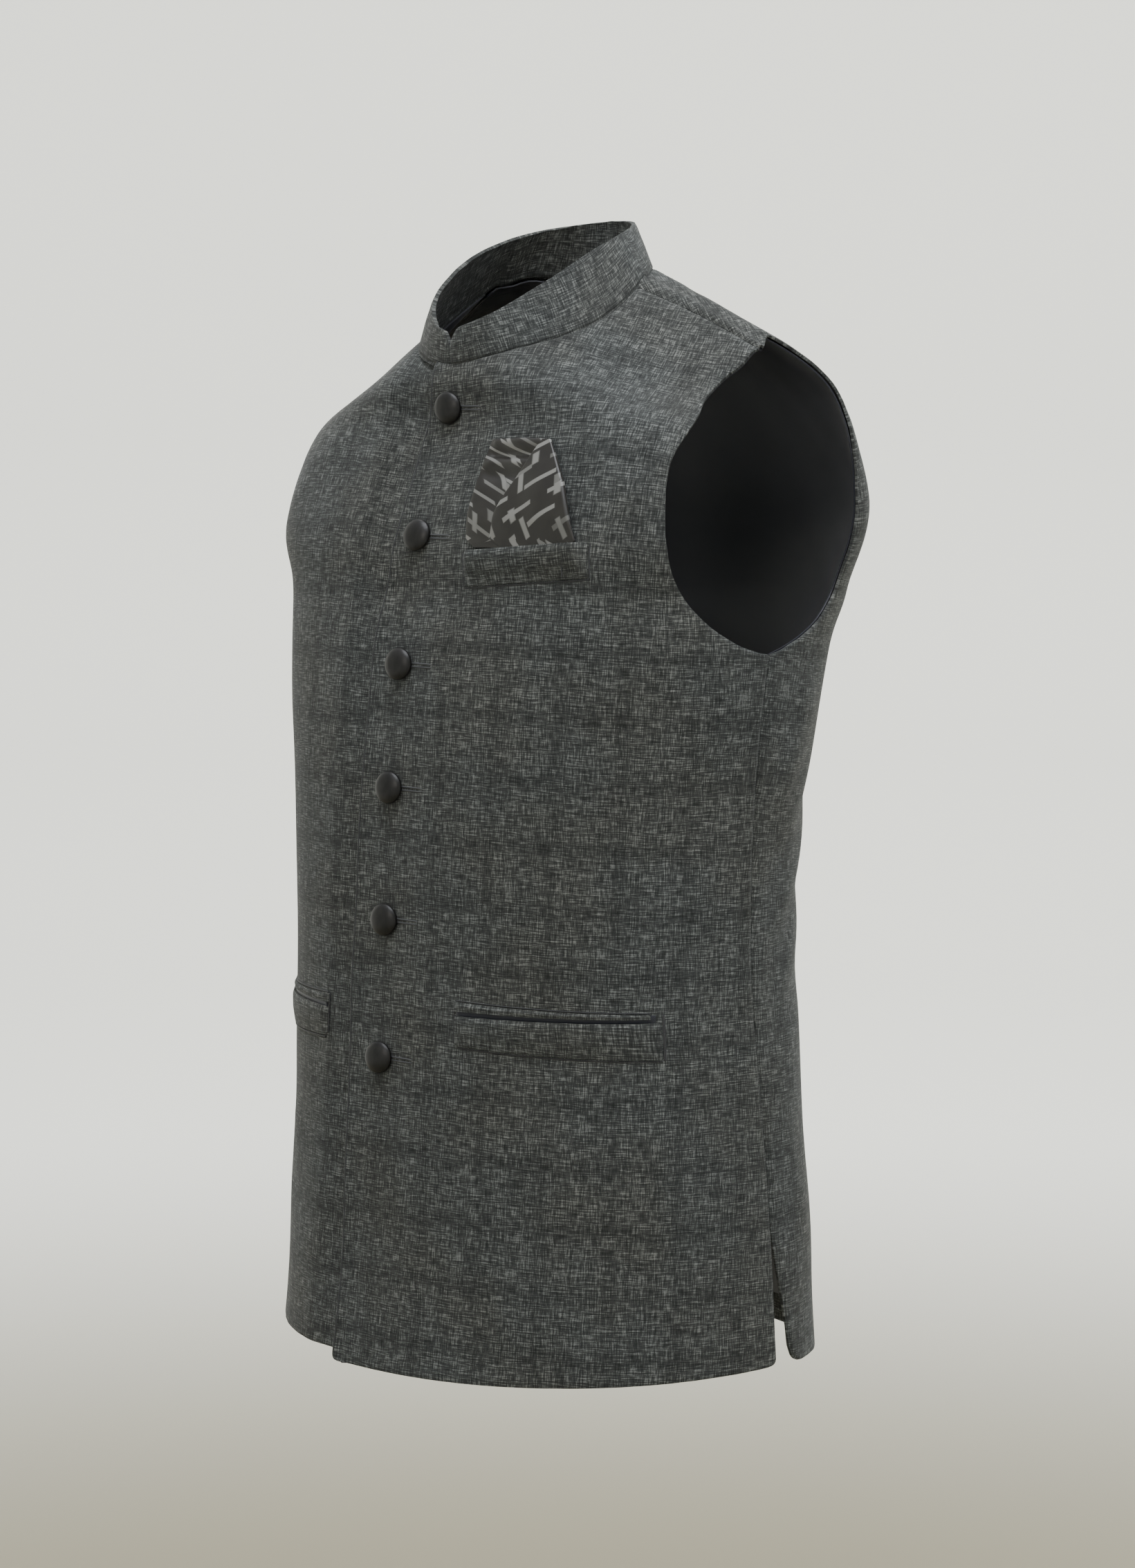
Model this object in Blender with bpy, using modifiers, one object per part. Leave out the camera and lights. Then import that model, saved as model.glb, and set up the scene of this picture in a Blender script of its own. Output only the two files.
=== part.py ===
"""Sleeveless waistcoat with a stand collar, a buttoned lap front, three welt pockets and side vents.

The garment is worn on a general figure that is not there, so every cloth piece is a thin hollow wall.
Up is +Z, the front faces -Y and the wearer's left is +X. The origin lies between the two points where
the shoulder seams meet the collar, so heights below the neck are negative, as a tailor measures them.
"""
import bisect
import math
from collections import namedtuple

import bmesh
import bpy
from mathutils import Matrix, Vector

MM = 0.001

# Cloth, in millimetres
CLOTH = 1.8
LINING = 1.0
COLLAR_CLOTH = 2.6
WELT_CLOTH = 1.6
SQUARE_CLOTH = 0.9
GAP = 0.3

# Cut of the fronts and back
HEM_Z = -695
VENT_TOP_Z = -597
VENT_OPENING = 8
VENT_FRONT_SHARE = 0.15
VENT_FLARE = 4
VENT_FLARE_SHARE = 0.2
UNDERLAP_X = 20
LAP_EASE = 30
LAP_MARGIN = 3
LINING_EDGE_X = 70
LINING_HEM_RISE = 22
LINING_SETBACK = 1.2
LINING_NECK_SETBACK = 4
LINING_EASE = 3.4
LINING_SEAM_GAPS = 3
LINING_PLAY = 1.3
LINING_TOP_PLAY = 1.5
LINING_SIDE_SHARE = 0.18
LINING_TOP_SHARE = 0.12
LINING_YOKE_SHARE = 0.25
LAP_PLAY = 1.6
LAP_DROP = 5.5

# Neck and collar
NECK_HALF_WIDTH = 79
NECK_HALF_DEPTH = 74
NECK_CENTRE_Y = -16
COLLAR_TOP_HALF_WIDTH = 59
COLLAR_TOP_CENTRE_Y = -18
COLLAR_CORNER = 12
COLLAR_CORNER_REACH = 42
COLLAR_NOTCH = 2.5
COLLAR_NOTCH_HEIGHT = 10
COLLAR_NOTCH_RISE = 16
COLLAR_PARTING = 0.5

# Buttons
BUTTON_HEIGHTS = (-83, -165, -247, -326, -411, -500)
BUTTON_STEPS = 20

# How a section's height eases from the centre out to the side
EASE = 0.25

# Rough length of cloth from the centre line to the side line, and from one section to the next
PANEL_SPAN = 260
SECTION_SPAN = 40

# Cells across and up each piece
FRONT_COLUMNS = 14
BACK_SHOULDER_COLUMNS = 6
BACK_NECK_COLUMNS = 12
LOWER_ROWS = 10
MIDDLE_ROWS = 10
UPPER_ROWS = 8
ROW_DROP = 52
CENTRE_CROWDING = 1.35
COLUMN_CROWDING = 0.92
LINING_COLUMNS = 7
COLLAR_SPLIT = 2
RUN_STEPS = 10

# Cloth lengths are measured along the line this share of the way to the side, in steps of a section
LENGTH_LINE = 0.4
LENGTH_STEPS = 10
COLLAR_ROWS = 5
COLLAR_CROWDING = 1.6

# The worn form in level sections, from the hem up to the underarm. Front and back share one side line.
Level = namedtuple("Level", "height half_width side_y front_y back_y fullness")
BODY = [
    Level(-720, 195, 22, -171, 126, 0.62),
    Level(-620, 195, 14, -158, 121, 0.62),
    Level(-530, 193, 7, -151, 116, 0.62),
    Level(-440, 191, -1, -145, 114, 0.63),
    Level(-335, 196, -4, -140, 120, 0.64),
    Level(-240, 206, -2, -130, 132, 0.67),
    Level(-200, 209, 7, -122, 140, 0.72),
]
UNDERARM = 5

# Sections that climb the chest, cross the shoulder and come down to the shoulder blades. Turn is the
# angle at which a section meets the side line: 90 runs front to back, 0 runs straight out.
Arch = namedtuple("Arch", "centre_z side_z half_width centre_y side_y turn fullness")
CHEST = Arch(-165, -160, 208, -117, -4, 98, 0.70)
YOKE = Arch(-97, -100, 201, -94, 0, 88, 0.73)
COLLARBONE = Arch(-46, -75, 190, -85, 1, 39, 0.63)
SHOULDER_SEAM = Arch(18, -48, 180, -4, 19, 0, 0.63)
RIDGE = Arch(24, -49, 182, 16, 25, 0, 0.63)
BACK_NECK = Arch(17, -45, 186, 44, 38, 13, 0.64)
BLADE_TOP = Arch(-48, -73, 200, 98, 68, 75, 0.64)
BLADE = Arch(-145, -140, 208, 131, 59, 94, 0.70)
SHOULDERS = [CHEST, YOKE, COLLARBONE, SHOULDER_SEAM, RIDGE, BACK_NECK, BLADE_TOP, BLADE]

# Armhole edges. Round is the share of the way from the centre line to the side line.
Notch = namedtuple("Notch", "round height")
FRONT_ARMHOLE = [
    Notch(0.94, -234),
    Notch(0.87, -228),
    Notch(0.79, -218),
    Notch(0.71, -204),
    Notch(0.66, -190),
    Notch(0.628, -174),
    Notch(0.61, -149),
    Notch(0.612, -124),
    Notch(0.642, -109),
    Notch(0.70, -97),
    Notch(0.80, -84),
    Notch(0.875, -73),
    Notch(0.922, -62),
    Notch(0.952, -55),
]
UNDERARM_Z = -237

# Sections between which the armhole's heights are looked for: from the waist on the front, and from
# so many sections behind the shoulder seam on the back
ARMHOLE_LOW = 3
ARMHOLE_BACK_TOP = 2.2

# The same edge on the back
BACK_ARMHOLE = [
    Notch(0.94, -232),
    Notch(0.88, -226),
    Notch(0.82, -218),
    Notch(0.785, -207),
    Notch(0.775, -195),
    Notch(0.81, -176),
    Notch(0.86, -157),
    Notch(0.905, -137),
    Notch(0.92, -115),
    Notch(0.915, -92),
    Notch(0.905, -74),
]

# The edge's last stretch crosses the shoulder, by section: 0 is the shoulder seam, 1 the ridge behind it
Crossing = namedtuple("Crossing", "round place")
SHOULDER_CROSSING = [
    Crossing(0.915, 2.45),
    Crossing(0.945, 1.80),
    Crossing(0.970, 0.90),
]
SHOULDER_TIP = 0.975

# Centre edge of the lapped front: how far past the centre line it reaches at each height
Edge = namedtuple("Edge", "height past_centre")
FRONT_EDGE = [
    Edge(-695, 27),
    Edge(-460, 33),
    Edge(-250, 29),
    Edge(-120, 18),
    Edge(-59, 16),
]

# Collar: height of its top edge at each number of degrees round the neck from the centre front
CollarRib = namedtuple("CollarRib", "angle top_z")
COLLAR_RIBS = [
    CollarRib(0, -32),
    CollarRib(30, -23),
    CollarRib(60, -3),
    CollarRib(90, 19),
    CollarRib(120, 33),
    CollarRib(150, 39),
    CollarRib(180, 41),
]

# Soft folds pressed into the worn cloth, each a line from one place to another: side is +1 for the
# wearer's left, face is -1 for the front and +1 for the back, and a negative depth is a trough.
Fold = namedtuple("Fold", "side face from_round from_height to_round to_height width depth")
FOLDS = [
    Fold(1, 1, 0.99, -392, 0.52, -318, 15, -2.4),
    Fold(1, 1, 0.97, -436, 0.50, -372, 17, -2.8),
    Fold(1, 1, 0.95, -478, 0.58, -440, 15, -1.9),
    Fold(1, 1, 0.78, -262, 0.92, -335, 16, 1.8),
    Fold(-1, 1, 0.99, -405, 0.55, -325, 16, -2.2),
    Fold(-1, 1, 0.96, -452, 0.48, -388, 17, -2.7),
    Fold(-1, 1, 0.80, -270, 0.93, -345, 15, 1.6),
    Fold(1, -1, 0.97, -300, 0.70, -372, 18, -1.4),
    Fold(-1, -1, 0.97, -310, 0.66, -384, 18, -1.6),
    Fold(-1, -1, 0.60, -520, 0.72, -640, 20, 1.6),
    Fold(1, -1, 0.42, -530, 0.36, -670, 24, 1.4),
]

# Length of a fold over which it fades at each end, and the share of a panel over which it fades to a seam
FOLD_TAPER = 0.3
FOLD_SEAM_FADE = 0.1

# Pockets on the fronts: two top corners and two bottom corners, each by reach from the centre and height
Corner = namedtuple("Corner", "reach height")
Pocket = namedtuple("Pocket", "inner_top outer_top outer_bottom inner_bottom")
BREAST_WELT = Pocket(Corner(46, -174), Corner(144, -166), Corner(145, -188), Corner(49, -196))
HIP_WELT = Pocket(Corner(63, -465), Corner(175, -464), Corner(176, -490), Corner(64, -486))
HIP_LIP = Pocket(Corner(63, -458), Corner(172, -461), Corner(172, -464), Corner(63, -464))
UNDER_POCKET_DROP = 8
WELT_MOUTH = 3.8
HIP_WELT_MOUTH = 0.6
HIP_LIP_MOUTH = 0.3
STRIP_LIFT = 0.4
STRIP_END_SHARE = 0.08

# Pocket square: the sheet runs from its left edge to its right edge, turns forward there and comes
# back to a slanting edge. Each row gives the height and how far those edges lie from the centre line.
SquareRow = namedtuple("SquareRow", "height left slant right")
SQUARE_ROWS = [
    SquareRow(-171, 57, 82, 131),
    SquareRow(-166, 49, 70, 136),
    SquareRow(-150, 48, 74, 128),
    SquareRow(-130, 49, 84, 119),
    SquareRow(-115, 50, 91, 109),
    SquareRow(-104, 52, 96, 101),
]
SQUARE_SINK_Z = -170
SQUARE_RISE = 18
SQUARE_LIFT = 1.8
SQUARE_FOLD_GAP = 0.6
SQUARE_PUFF = 2.6
SQUARE_REAR_COLUMNS = 6
SQUARE_TURN_COLUMNS = 2
SQUARE_FRONT_COLUMNS = 5
SQUARE_GRID_ROWS = 9

# Button profile, radius and height, from the shank up
BUTTON_PROFILE = [
    (0, 0),
    (3.2, 0),
    (3.2, 1.6),
    (8.6, 1.9),
    (10.5, 3.4),
    (10.2, 4.8),
    (8.4, 6.4),
    (5.2, 7.4),
    (0, 8.0),
]

SEAM = len(BODY) + SHOULDERS.index(SHOULDER_SEAM)


def all_sections():
    """Every section in order: up the front, over the shoulder and down the back."""
    front = [Arch(b.height, b.height, b.half_width, b.front_y, b.side_y, 90, b.fullness) for b in BODY]
    back = [Arch(b.height, b.height, b.half_width, b.back_y, b.side_y, 90, b.fullness) for b in BODY]
    return front + SHOULDERS + back[::-1]


SECTIONS = all_sections()
LAST = len(SECTIONS) - 1
BACK_UNDERARM = LAST - UNDERARM


def bezier(a, b, c, d, t):
    """Cubic curve through a and d, drawn toward b and c."""
    s = 1 - t
    return s * s * s * a + 3 * s * s * t * b + 3 * s * t * t * c + t * t * t * d


def spline(a, b, c, d, t):
    """Smooth step from b to c, with a before them and d after."""
    bend = (2 * a - 5 * b + 4 * c - d) * t * t
    return 0.5 * (2 * b + (c - a) * t + bend + (3 * b - a - 3 * c + d) * t ** 3)


def smooth(t):
    """Rises from 0 to 1 with level ends."""
    t = min(max(t, 0.0), 1.0)
    return t * t * (3 - 2 * t)


def section_point(section, u):
    """Point of one section at share u of the way from the centre (0) to the side (1), in millimetres."""
    share = abs(u)
    width = section.half_width
    turn = math.radians(section.turn)
    x = bezier(0, section.fullness * width, width - section.fullness * width * math.cos(turn), width, share)
    reach = section.fullness * (section.centre_y - section.side_y) * math.sin(turn)
    y = bezier(section.centre_y, section.centre_y, section.side_y + reach, section.side_y, share)
    out = x / width
    fall = out * out * (1 + EASE) / (out + EASE)
    z = section.centre_z + (section.side_z - section.centre_z) * fall
    return Vector((math.copysign(x, u), y, z))


def form_point(u, v):
    """Outer face of the cloth at share u across and section number v along, without its folds."""
    v = min(max(v, 0.0), float(LAST))
    index = min(int(v), LAST - 1)
    here = section_point(SECTIONS[index], u)
    ahead = section_point(SECTIONS[index + 1], u)
    before = section_point(SECTIONS[index - 1], u) if index > 0 else 2 * here - ahead
    after = section_point(SECTIONS[index + 2], u) if index + 2 <= LAST else 2 * ahead - here
    return spline(before, here, ahead, after, v - index)


def form_normal(u, v):
    """Unit direction out of the cloth, away from the body."""
    step = 0.01
    across = form_point(u + step, v) - form_point(u - step, v)
    along = form_point(u, v + step) - form_point(u, v - step)
    return across.cross(along).normalized()


def fold_depth(u, v, point):
    """How far the soft folds press the cloth out or in at this place."""
    face = -1 if v < SEAM else 1
    side = 1 if u >= 0 else -1
    total = 0.0
    for fold in FOLDS:
        if fold.face != face or fold.side != side:
            continue
        start = Vector((fold.from_round * PANEL_SPAN, fold.from_height))
        line = Vector((fold.to_round * PANEL_SPAN, fold.to_height)) - start
        place = Vector((abs(u) * PANEL_SPAN, point.z)) - start
        share = place.dot(line) / line.length_squared
        away = (place - line * share).length / fold.width
        length = smooth(share / FOLD_TAPER + 0.5) * smooth((1 - share) / FOLD_TAPER + 0.5)
        total += fold.depth * length * math.exp(-away * away)
    return total * smooth((1 - abs(u)) / FOLD_SEAM_FADE)


def cloth_point(u, v, out=0.0):
    """Point on the worn cloth with its folds, moved outward by so many millimetres."""
    point = form_point(u, v)
    return point + form_normal(u, v) * (out + fold_depth(u, v, point))


def find_place(target, axes, u, v):
    """Section place (u, v) whose form point matches the target on two axes, by Newton steps."""
    step = 0.002
    for _ in range(30):
        point = form_point(u, v)
        miss = Vector((target[0] - point[axes[0]], target[1] - point[axes[1]]))
        if miss.length < 0.001:
            break
        across = (form_point(u + step, v) - form_point(u - step, v)) / (2 * step)
        along = (form_point(u, v + step) - form_point(u, v - step)) / (2 * step)
        a, b, c, d = across[axes[0]], along[axes[0]], across[axes[1]], along[axes[1]]
        bottom = a * d - b * c
        move_u = (miss[0] * d - miss[1] * b) / bottom
        move_v = (miss[1] * a - miss[0] * c) / bottom
        u = u + min(max(move_u, -0.1), 0.1)
        v = v + min(max(move_v, -0.5), 0.5)
    return u, v


def level_place(u, height, low, high):
    """Section number between low and high at which the form reaches a height, at share u."""
    rising = form_point(u, high).z > form_point(u, low).z
    for _ in range(24):
        middle = (low + high) / 2
        if (form_point(u, middle).z < height) == rising:
            low = middle
        else:
            high = middle
    return (low + high) / 2


def front_place(reach, height):
    """Place on the front at a reach from the centre line and a height."""
    start_v = level_place(0.3, height, 0, SEAM)
    return find_place((reach, height), (0, 2), reach / 300, start_v)


def neck_place(angle):
    """Place on the neckline, at degrees round it from the centre front toward the wearer's left."""
    turn = math.radians(angle)
    target = (NECK_HALF_WIDTH * math.sin(turn), NECK_CENTRE_Y - NECK_HALF_DEPTH * math.cos(turn))
    side = math.sin(turn)
    guess_v = SEAM - 1.1 + 3.2 * (abs(angle) / 180) ** 1.2
    return find_place(target, (0, 1), 0.36 * side, guess_v)


def seam_angle():
    """Degrees round the neck at which the neckline crosses the shoulder seam."""
    low, high = 60.0, 130.0
    for _ in range(24):
        middle = (low + high) / 2
        if neck_place(middle)[1] < SEAM:
            low = middle
        else:
            high = middle
    return (low + high) / 2


NECK_SEAM_ANGLE = seam_angle()


def section_lengths():
    """Lengths of cloth from the front hem along one line up the front and down the back."""
    points = [form_point(LENGTH_LINE, k / LENGTH_STEPS) for k in range(LENGTH_STEPS * LAST + 1)]
    lengths = [0.0]
    for here, ahead in zip(points, points[1:]):
        lengths.append(lengths[-1] + (ahead - here).length)
    return lengths


LENGTHS = section_lengths()


def length_at(v):
    """Length of cloth from the front hem to a section number."""
    steps = v * LENGTH_STEPS
    index = min(int(steps), len(LENGTHS) - 2)
    return LENGTHS[index] + (LENGTHS[index + 1] - LENGTHS[index]) * (steps - index)


def section_at(length):
    """Section number at a length of cloth from the front hem."""
    index = min(max(bisect.bisect_right(LENGTHS, length) - 1, 0), len(LENGTHS) - 2)
    return (index + (length - LENGTHS[index]) / (LENGTHS[index + 1] - LENGTHS[index])) / LENGTH_STEPS


def even_run(places, count):
    """Places at even steps of real length along a smooth line through the given places."""
    fine = []
    for index in range(len(places) - 1):
        here, ahead = Vector(places[index]), Vector(places[index + 1])
        before = Vector(places[index - 1]) if index > 0 else 2 * here - ahead
        after = Vector(places[index + 2]) if index + 2 < len(places) else 2 * ahead - here
        fine += [spline(before, here, ahead, after, k / RUN_STEPS) for k in range(RUN_STEPS)]
    fine.append(Vector(places[-1]))
    points = [form_point(*place) for place in fine]
    lengths = [0.0]
    for here, ahead in zip(points, points[1:]):
        lengths.append(lengths[-1] + (ahead - here).length)
    run = []
    index = 0
    for k in range(count + 1):
        target = lengths[-1] * k / count
        while index < len(fine) - 2 and lengths[index + 1] < target:
            index += 1
        share = (target - lengths[index]) / max(lengths[index + 1] - lengths[index], 1e-9)
        run.append(fine[index].lerp(fine[index + 1], share))
    return run


def seam_share(v, distance):
    """Change of u at the side line that moves the edge by a distance in millimetres."""
    return distance / ((form_point(1.0, v) - form_point(0.99, v)).length / 0.01)


def side_run(face, count, hem_z, setback):
    """Side seam from the hem to the underarm on one face, with the vent below it."""
    low, high = (0, UNDERARM + 1) if face < 0 else (LAST, BACK_UNDERARM - 1)
    run = []
    for k in range(count + 1):
        height = hem_z + (UNDERARM_Z - hem_z) * k / count
        v = level_place(1.0, height, low, high)
        open_share = smooth((VENT_TOP_Z - height) / (VENT_TOP_Z - HEM_Z))
        spread = VENT_OPENING * open_share * (1.0 if face > 0 else VENT_FRONT_SHARE)
        run.append(Vector((1 - seam_share(v, GAP / 2 + spread + setback), v)))
    return run


def armhole_places(face, setback=0.0):
    """Armhole edge from the underarm to the shoulder seam on one face."""
    if face < 0:
        under = level_place(1.0, UNDERARM_Z, 0, UNDERARM + 1)
        middle = [(n.round, level_place(n.round, n.height, ARMHOLE_LOW, SEAM)) for n in FRONT_ARMHOLE]
    else:
        under = level_place(1.0, UNDERARM_Z, LAST, BACK_UNDERARM - 1)
        top = SEAM + ARMHOLE_BACK_TOP
        middle = [(n.round, level_place(n.round, n.height, top, BACK_UNDERARM)) for n in BACK_ARMHOLE]
        middle += [(n.round, SEAM + n.place) for n in SHOULDER_CROSSING]
    gap = seam_share(under, GAP / 2)
    places = [(1 - gap, under)] + middle + [(SHOULDER_TIP, SEAM)]
    return [(u - seam_share(v, setback), v) for u, v in places]


def shoulder_gap(u):
    """Change of v that opens half the seam gap at the shoulder."""
    return GAP / 2 / ((form_point(u, SEAM + 0.05) - form_point(u, SEAM - 0.05)).length / 0.1)


def edge_reach(height):
    """How far the front edge reaches past the centre line at a height."""
    rows = FRONT_EDGE
    if height <= rows[0].height:
        return rows[0].past_centre
    for low, high in zip(rows, rows[1:]):
        if height <= high.height:
            share = (height - low.height) / (high.height - low.height)
            return low.past_centre + (high.past_centre - low.past_centre) * smooth(share)
    return rows[-1].past_centre


def neck_angle_at(reach):
    """Degrees round the neck at which the neckline passes a reach from the centre line."""
    return math.degrees(math.asin(reach / NECK_HALF_WIDTH))


def front_neck_angles(first):
    """Degrees round the neck of each cloth point on a front's neckline, from its corner to the seam."""
    steps = UPPER_ROWS - 1
    return [first] + [NECK_SEAM_ANGLE * k / steps for k in range(steps + 1)]


def back_neck_angles():
    """Degrees round the neck of each cloth point on half the back's neckline, from the seam."""
    half = BACK_NECK_COLUMNS // 2
    return [NECK_SEAM_ANGLE + (180 - NECK_SEAM_ANGLE) * k / half for k in range(half + 1)]


def centre_run(edge_x, hem_z):
    """Inner edge of a front: up its centre edge, then round the neckline to the shoulder seam."""
    first = neck_angle_at(edge_x(FRONT_EDGE[-1].height))
    corner_z = form_point(*neck_place(first)).z
    turn_z = UNDERARM_Z - ROW_DROP
    run = []
    for k in range(LOWER_ROWS):
        height = hem_z + (turn_z - hem_z) * k / LOWER_ROWS
        run.append(Vector(front_place(edge_x(height), height)))
    for k in range(MIDDLE_ROWS):
        share = 1 - (1 - k / MIDDLE_ROWS) ** CENTRE_CROWDING
        height = turn_z + (corner_z - turn_z) * share
        run.append(Vector(front_place(edge_x(height), height)))
    run += [Vector(neck_place(angle)) for angle in front_neck_angles(first)]
    run[-1][1] -= shoulder_gap(run[-1][0])
    return run


def lining_centre_run():
    """Inner edge of a front lining: up behind the facing, then just below the neckline."""
    low_z = HEM_Z + LINING_HEM_RISE
    first = neck_angle_at(LINING_EDGE_X)
    top_z = form_point(*neck_place(first)).z - LINING_SETBACK
    straight = LOWER_ROWS + MIDDLE_ROWS
    run = [front_place(LINING_EDGE_X, low_z + (top_z - low_z) * k / straight) for k in range(straight)]
    for k in range(UPPER_ROWS + 1):
        angle = first + (NECK_SEAM_ANGLE - first) * k / UPPER_ROWS
        u, v = neck_place(angle)
        drop = LINING_NECK_SETBACK / SECTION_SPAN * (1 - k / UPPER_ROWS)
        run.append((u + LINING_SETBACK / PANEL_SPAN, v - drop))
    u, v = run[-1]
    run[-1] = (u, v - LINING_SEAM_GAPS * shoulder_gap(u))
    return [Vector(place) for place in run]


def outer_run(face, hem_z, setback=0.0):
    """Outer edge of a panel: up the side seam, then round the armhole to the shoulder seam."""
    side = side_run(face, LOWER_ROWS, hem_z, setback)
    arm = even_run(armhole_places(face, setback), MIDDLE_ROWS + UPPER_ROWS)
    last = arm[-1]
    sign = -1 if face < 0 else 1
    apart = LINING_SEAM_GAPS if setback else 1
    arm[-1] = Vector((last[0], SEAM + sign * apart * shoulder_gap(last[0])))
    return side[:-1] + arm


def ruled_place(inner, outer, across, row):
    """Place part of the way from a row's inner end to its outer end."""
    return inner[row].lerp(outer[row], across)


def make_wall(name, columns, rows, place, material):
    """Closed wall of cloth: place(column, row, inside) gives each grid point of its two faces."""
    bm = bmesh.new()
    bmesh.ops.create_grid(bm, x_segments=columns, y_segments=rows, size=0.5)
    outer_faces = list(bm.faces)
    rim = [edge.link_loops[0] for edge in bm.edges if edge.is_boundary]
    copy = bmesh.ops.duplicate(bm, geom=list(bm.verts) + list(bm.edges) + outer_faces)
    inner = copy["vert_map"]
    inner_faces = [item for item in copy["geom"] if isinstance(item, bmesh.types.BMFace)]
    bmesh.ops.reverse_faces(bm, faces=inner_faces)
    outer_verts = {vert for face in outer_faces for vert in face.verts}
    for loop in rim:
        here, ahead = loop.vert, loop.link_loop_next.vert
        bm.faces.new((ahead, here, inner[here], inner[ahead]))
    for vert in outer_verts:
        column = round((vert.co.x + 0.5) * columns)
        row = round((vert.co.y + 0.5) * rows)
        inner[vert].co = place(column, row, True) * MM
        vert.co = place(column, row, False) * MM
    mesh = bpy.data.meshes.new(name)
    bm.to_mesh(mesh)
    bm.free()
    mesh.shade_smooth()
    mesh.set_sharp_from_angle(angle=math.radians(50))
    mesh.materials.append(material)
    piece = bpy.data.objects.new(name, mesh)
    PARTS.objects.link(piece)
    return piece


def lap_depth(x):
    """How far the under front sinks below the lapped one, by distance across (negative is its own side)."""
    full = -max(edge.past_centre for edge in FRONT_EDGE) - LAP_MARGIN
    return (CLOTH + LAP_PLAY) * smooth((x - full + LAP_EASE) / LAP_EASE)


def make_front(name, side, material):
    """One front, cut from centre edge to side seam; the wearer's right one passes under the other."""
    def edge_x(height):
        return -edge_reach(height) if side > 0 else -UNDERLAP_X

    inner = centre_run(edge_x, HEM_Z - LAP_DROP if side > 0 else HEM_Z)
    outer = outer_run(-1, HEM_Z)
    rows = len(inner) - 1

    def place(column, row, inside):
        share = column / FRONT_COLUMNS if side > 0 else 1 - column / FRONT_COLUMNS
        u, v = ruled_place(inner, outer, share ** COLUMN_CROWDING, row)
        out = -CLOTH if inside else 0.0
        if side < 0:
            out -= lap_depth(-form_point(u, v).x)
        return cloth_point(side * u, v, out)

    return make_wall(name, FRONT_COLUMNS, rows, place, material)


def back_top_run(setback=0.0):
    """Top edge of the back from one shoulder tip to the other: seam, back neckline, seam."""
    tip = armhole_places(1, setback)[-1][0]
    apart = LINING_SEAM_GAPS if setback else 1
    drop = LINING_NECK_SETBACK / SECTION_SPAN if setback else 0.0
    places = []
    for k in range(BACK_SHOULDER_COLUMNS):
        u = tip + (neck_place(NECK_SEAM_ANGLE)[0] - tip) * k / BACK_SHOULDER_COLUMNS
        places.append(Vector((u, SEAM + apart * shoulder_gap(u))))
    angles = back_neck_angles()
    for k, angle in enumerate(angles):
        u, v = neck_place(angle)
        part = k / (len(angles) - 1)
        u = 0.0 if part == 1 else u
        places.append(Vector((u, v + shoulder_gap(max(u, 0.05)) * (1 - part) + drop)))
    return places + [Vector((-p[0], p[1])) for p in places[-2::-1]]


def lining_lift(across, up, top_play):
    """How far inside the cloth a lining hangs: close at its sewn edges and free between them."""
    inward = min(across, 1 - across)
    free = smooth(inward / LINING_SIDE_SHARE) * smooth((1 - up) / LINING_TOP_SHARE)
    top = smooth(inward / LINING_YOKE_SHARE) * smooth(1 - (1 - up) / LINING_YOKE_SHARE)
    return -CLOTH - GAP - LINING_PLAY - top_play * top - LINING_EASE * free


def make_back_wall(name, hem_z, lift, wall, setback, material):
    """The back, in one piece, or its lining: hem, side seams, armholes, shoulder seams and neckline."""
    left = [Vector((u, length_at(v))) for u, v in outer_run(1, hem_z, setback)]
    top = [Vector((u, length_at(v))) for u, v in back_top_run(setback)]
    rows, columns = len(left) - 1, len(top) - 1

    def patch(column, row):
        s, t = column / columns, row / rows
        right = Vector((-left[row][0], left[row][1]))
        straight_top = (1 - s) * top[0] + s * top[-1]
        return (1 - s) * left[row] + s * right + t * (top[column] - straight_top)

    def place(column, row, inside):
        u, length = patch(column, row)
        v = section_at(length)
        height = form_point(u, v).z
        below = smooth((VENT_TOP_Z - height) / (VENT_TOP_Z - HEM_Z))
        flare = VENT_FLARE * below * smooth(1 - (1 - abs(u)) / VENT_FLARE_SHARE)
        out = lift(column / columns, row / rows) + flare
        return cloth_point(u, v, out - (wall if inside else 0.0))

    return make_wall(name, columns, rows, place, material)


def make_front_lining(name, side, material):
    """Lining of one front, from behind its facing to the side seam, just inside the cloth."""
    inner = lining_centre_run()
    outer = outer_run(-1, HEM_Z + LINING_HEM_RISE, LINING_SETBACK)
    rows = len(inner) - 1

    def place(column, row, inside):
        share = column / LINING_COLUMNS if side > 0 else 1 - column / LINING_COLUMNS
        u, v = ruled_place(inner, outer, share, row)
        out = lining_lift(share, row / rows, 0.0) - (LINING if inside else 0.0)
        return cloth_point(side * u, v, out)

    return make_wall(name, LINING_COLUMNS, rows, place, material)


def collar_top(angle):
    """Point of the collar's top edge, at signed degrees round from the centre front."""
    size = abs(angle)
    ribs = COLLAR_RIBS
    index = min(int(size / 30), len(ribs) - 2)
    before = ribs[index - 1].top_z if index > 0 else ribs[1].top_z
    after = ribs[index + 2].top_z if index + 2 < len(ribs) else ribs[-2].top_z
    share = (size - ribs[index].angle) / (ribs[index + 1].angle - ribs[index].angle)
    top_z = spline(before, ribs[index].top_z, ribs[index + 1].top_z, after, share)
    turn = math.radians(angle)
    return Vector((
        COLLAR_TOP_HALF_WIDTH * math.sin(turn),
        COLLAR_TOP_CENTRE_Y - NECK_HALF_DEPTH * math.cos(turn),
        top_z,
    ))


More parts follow.
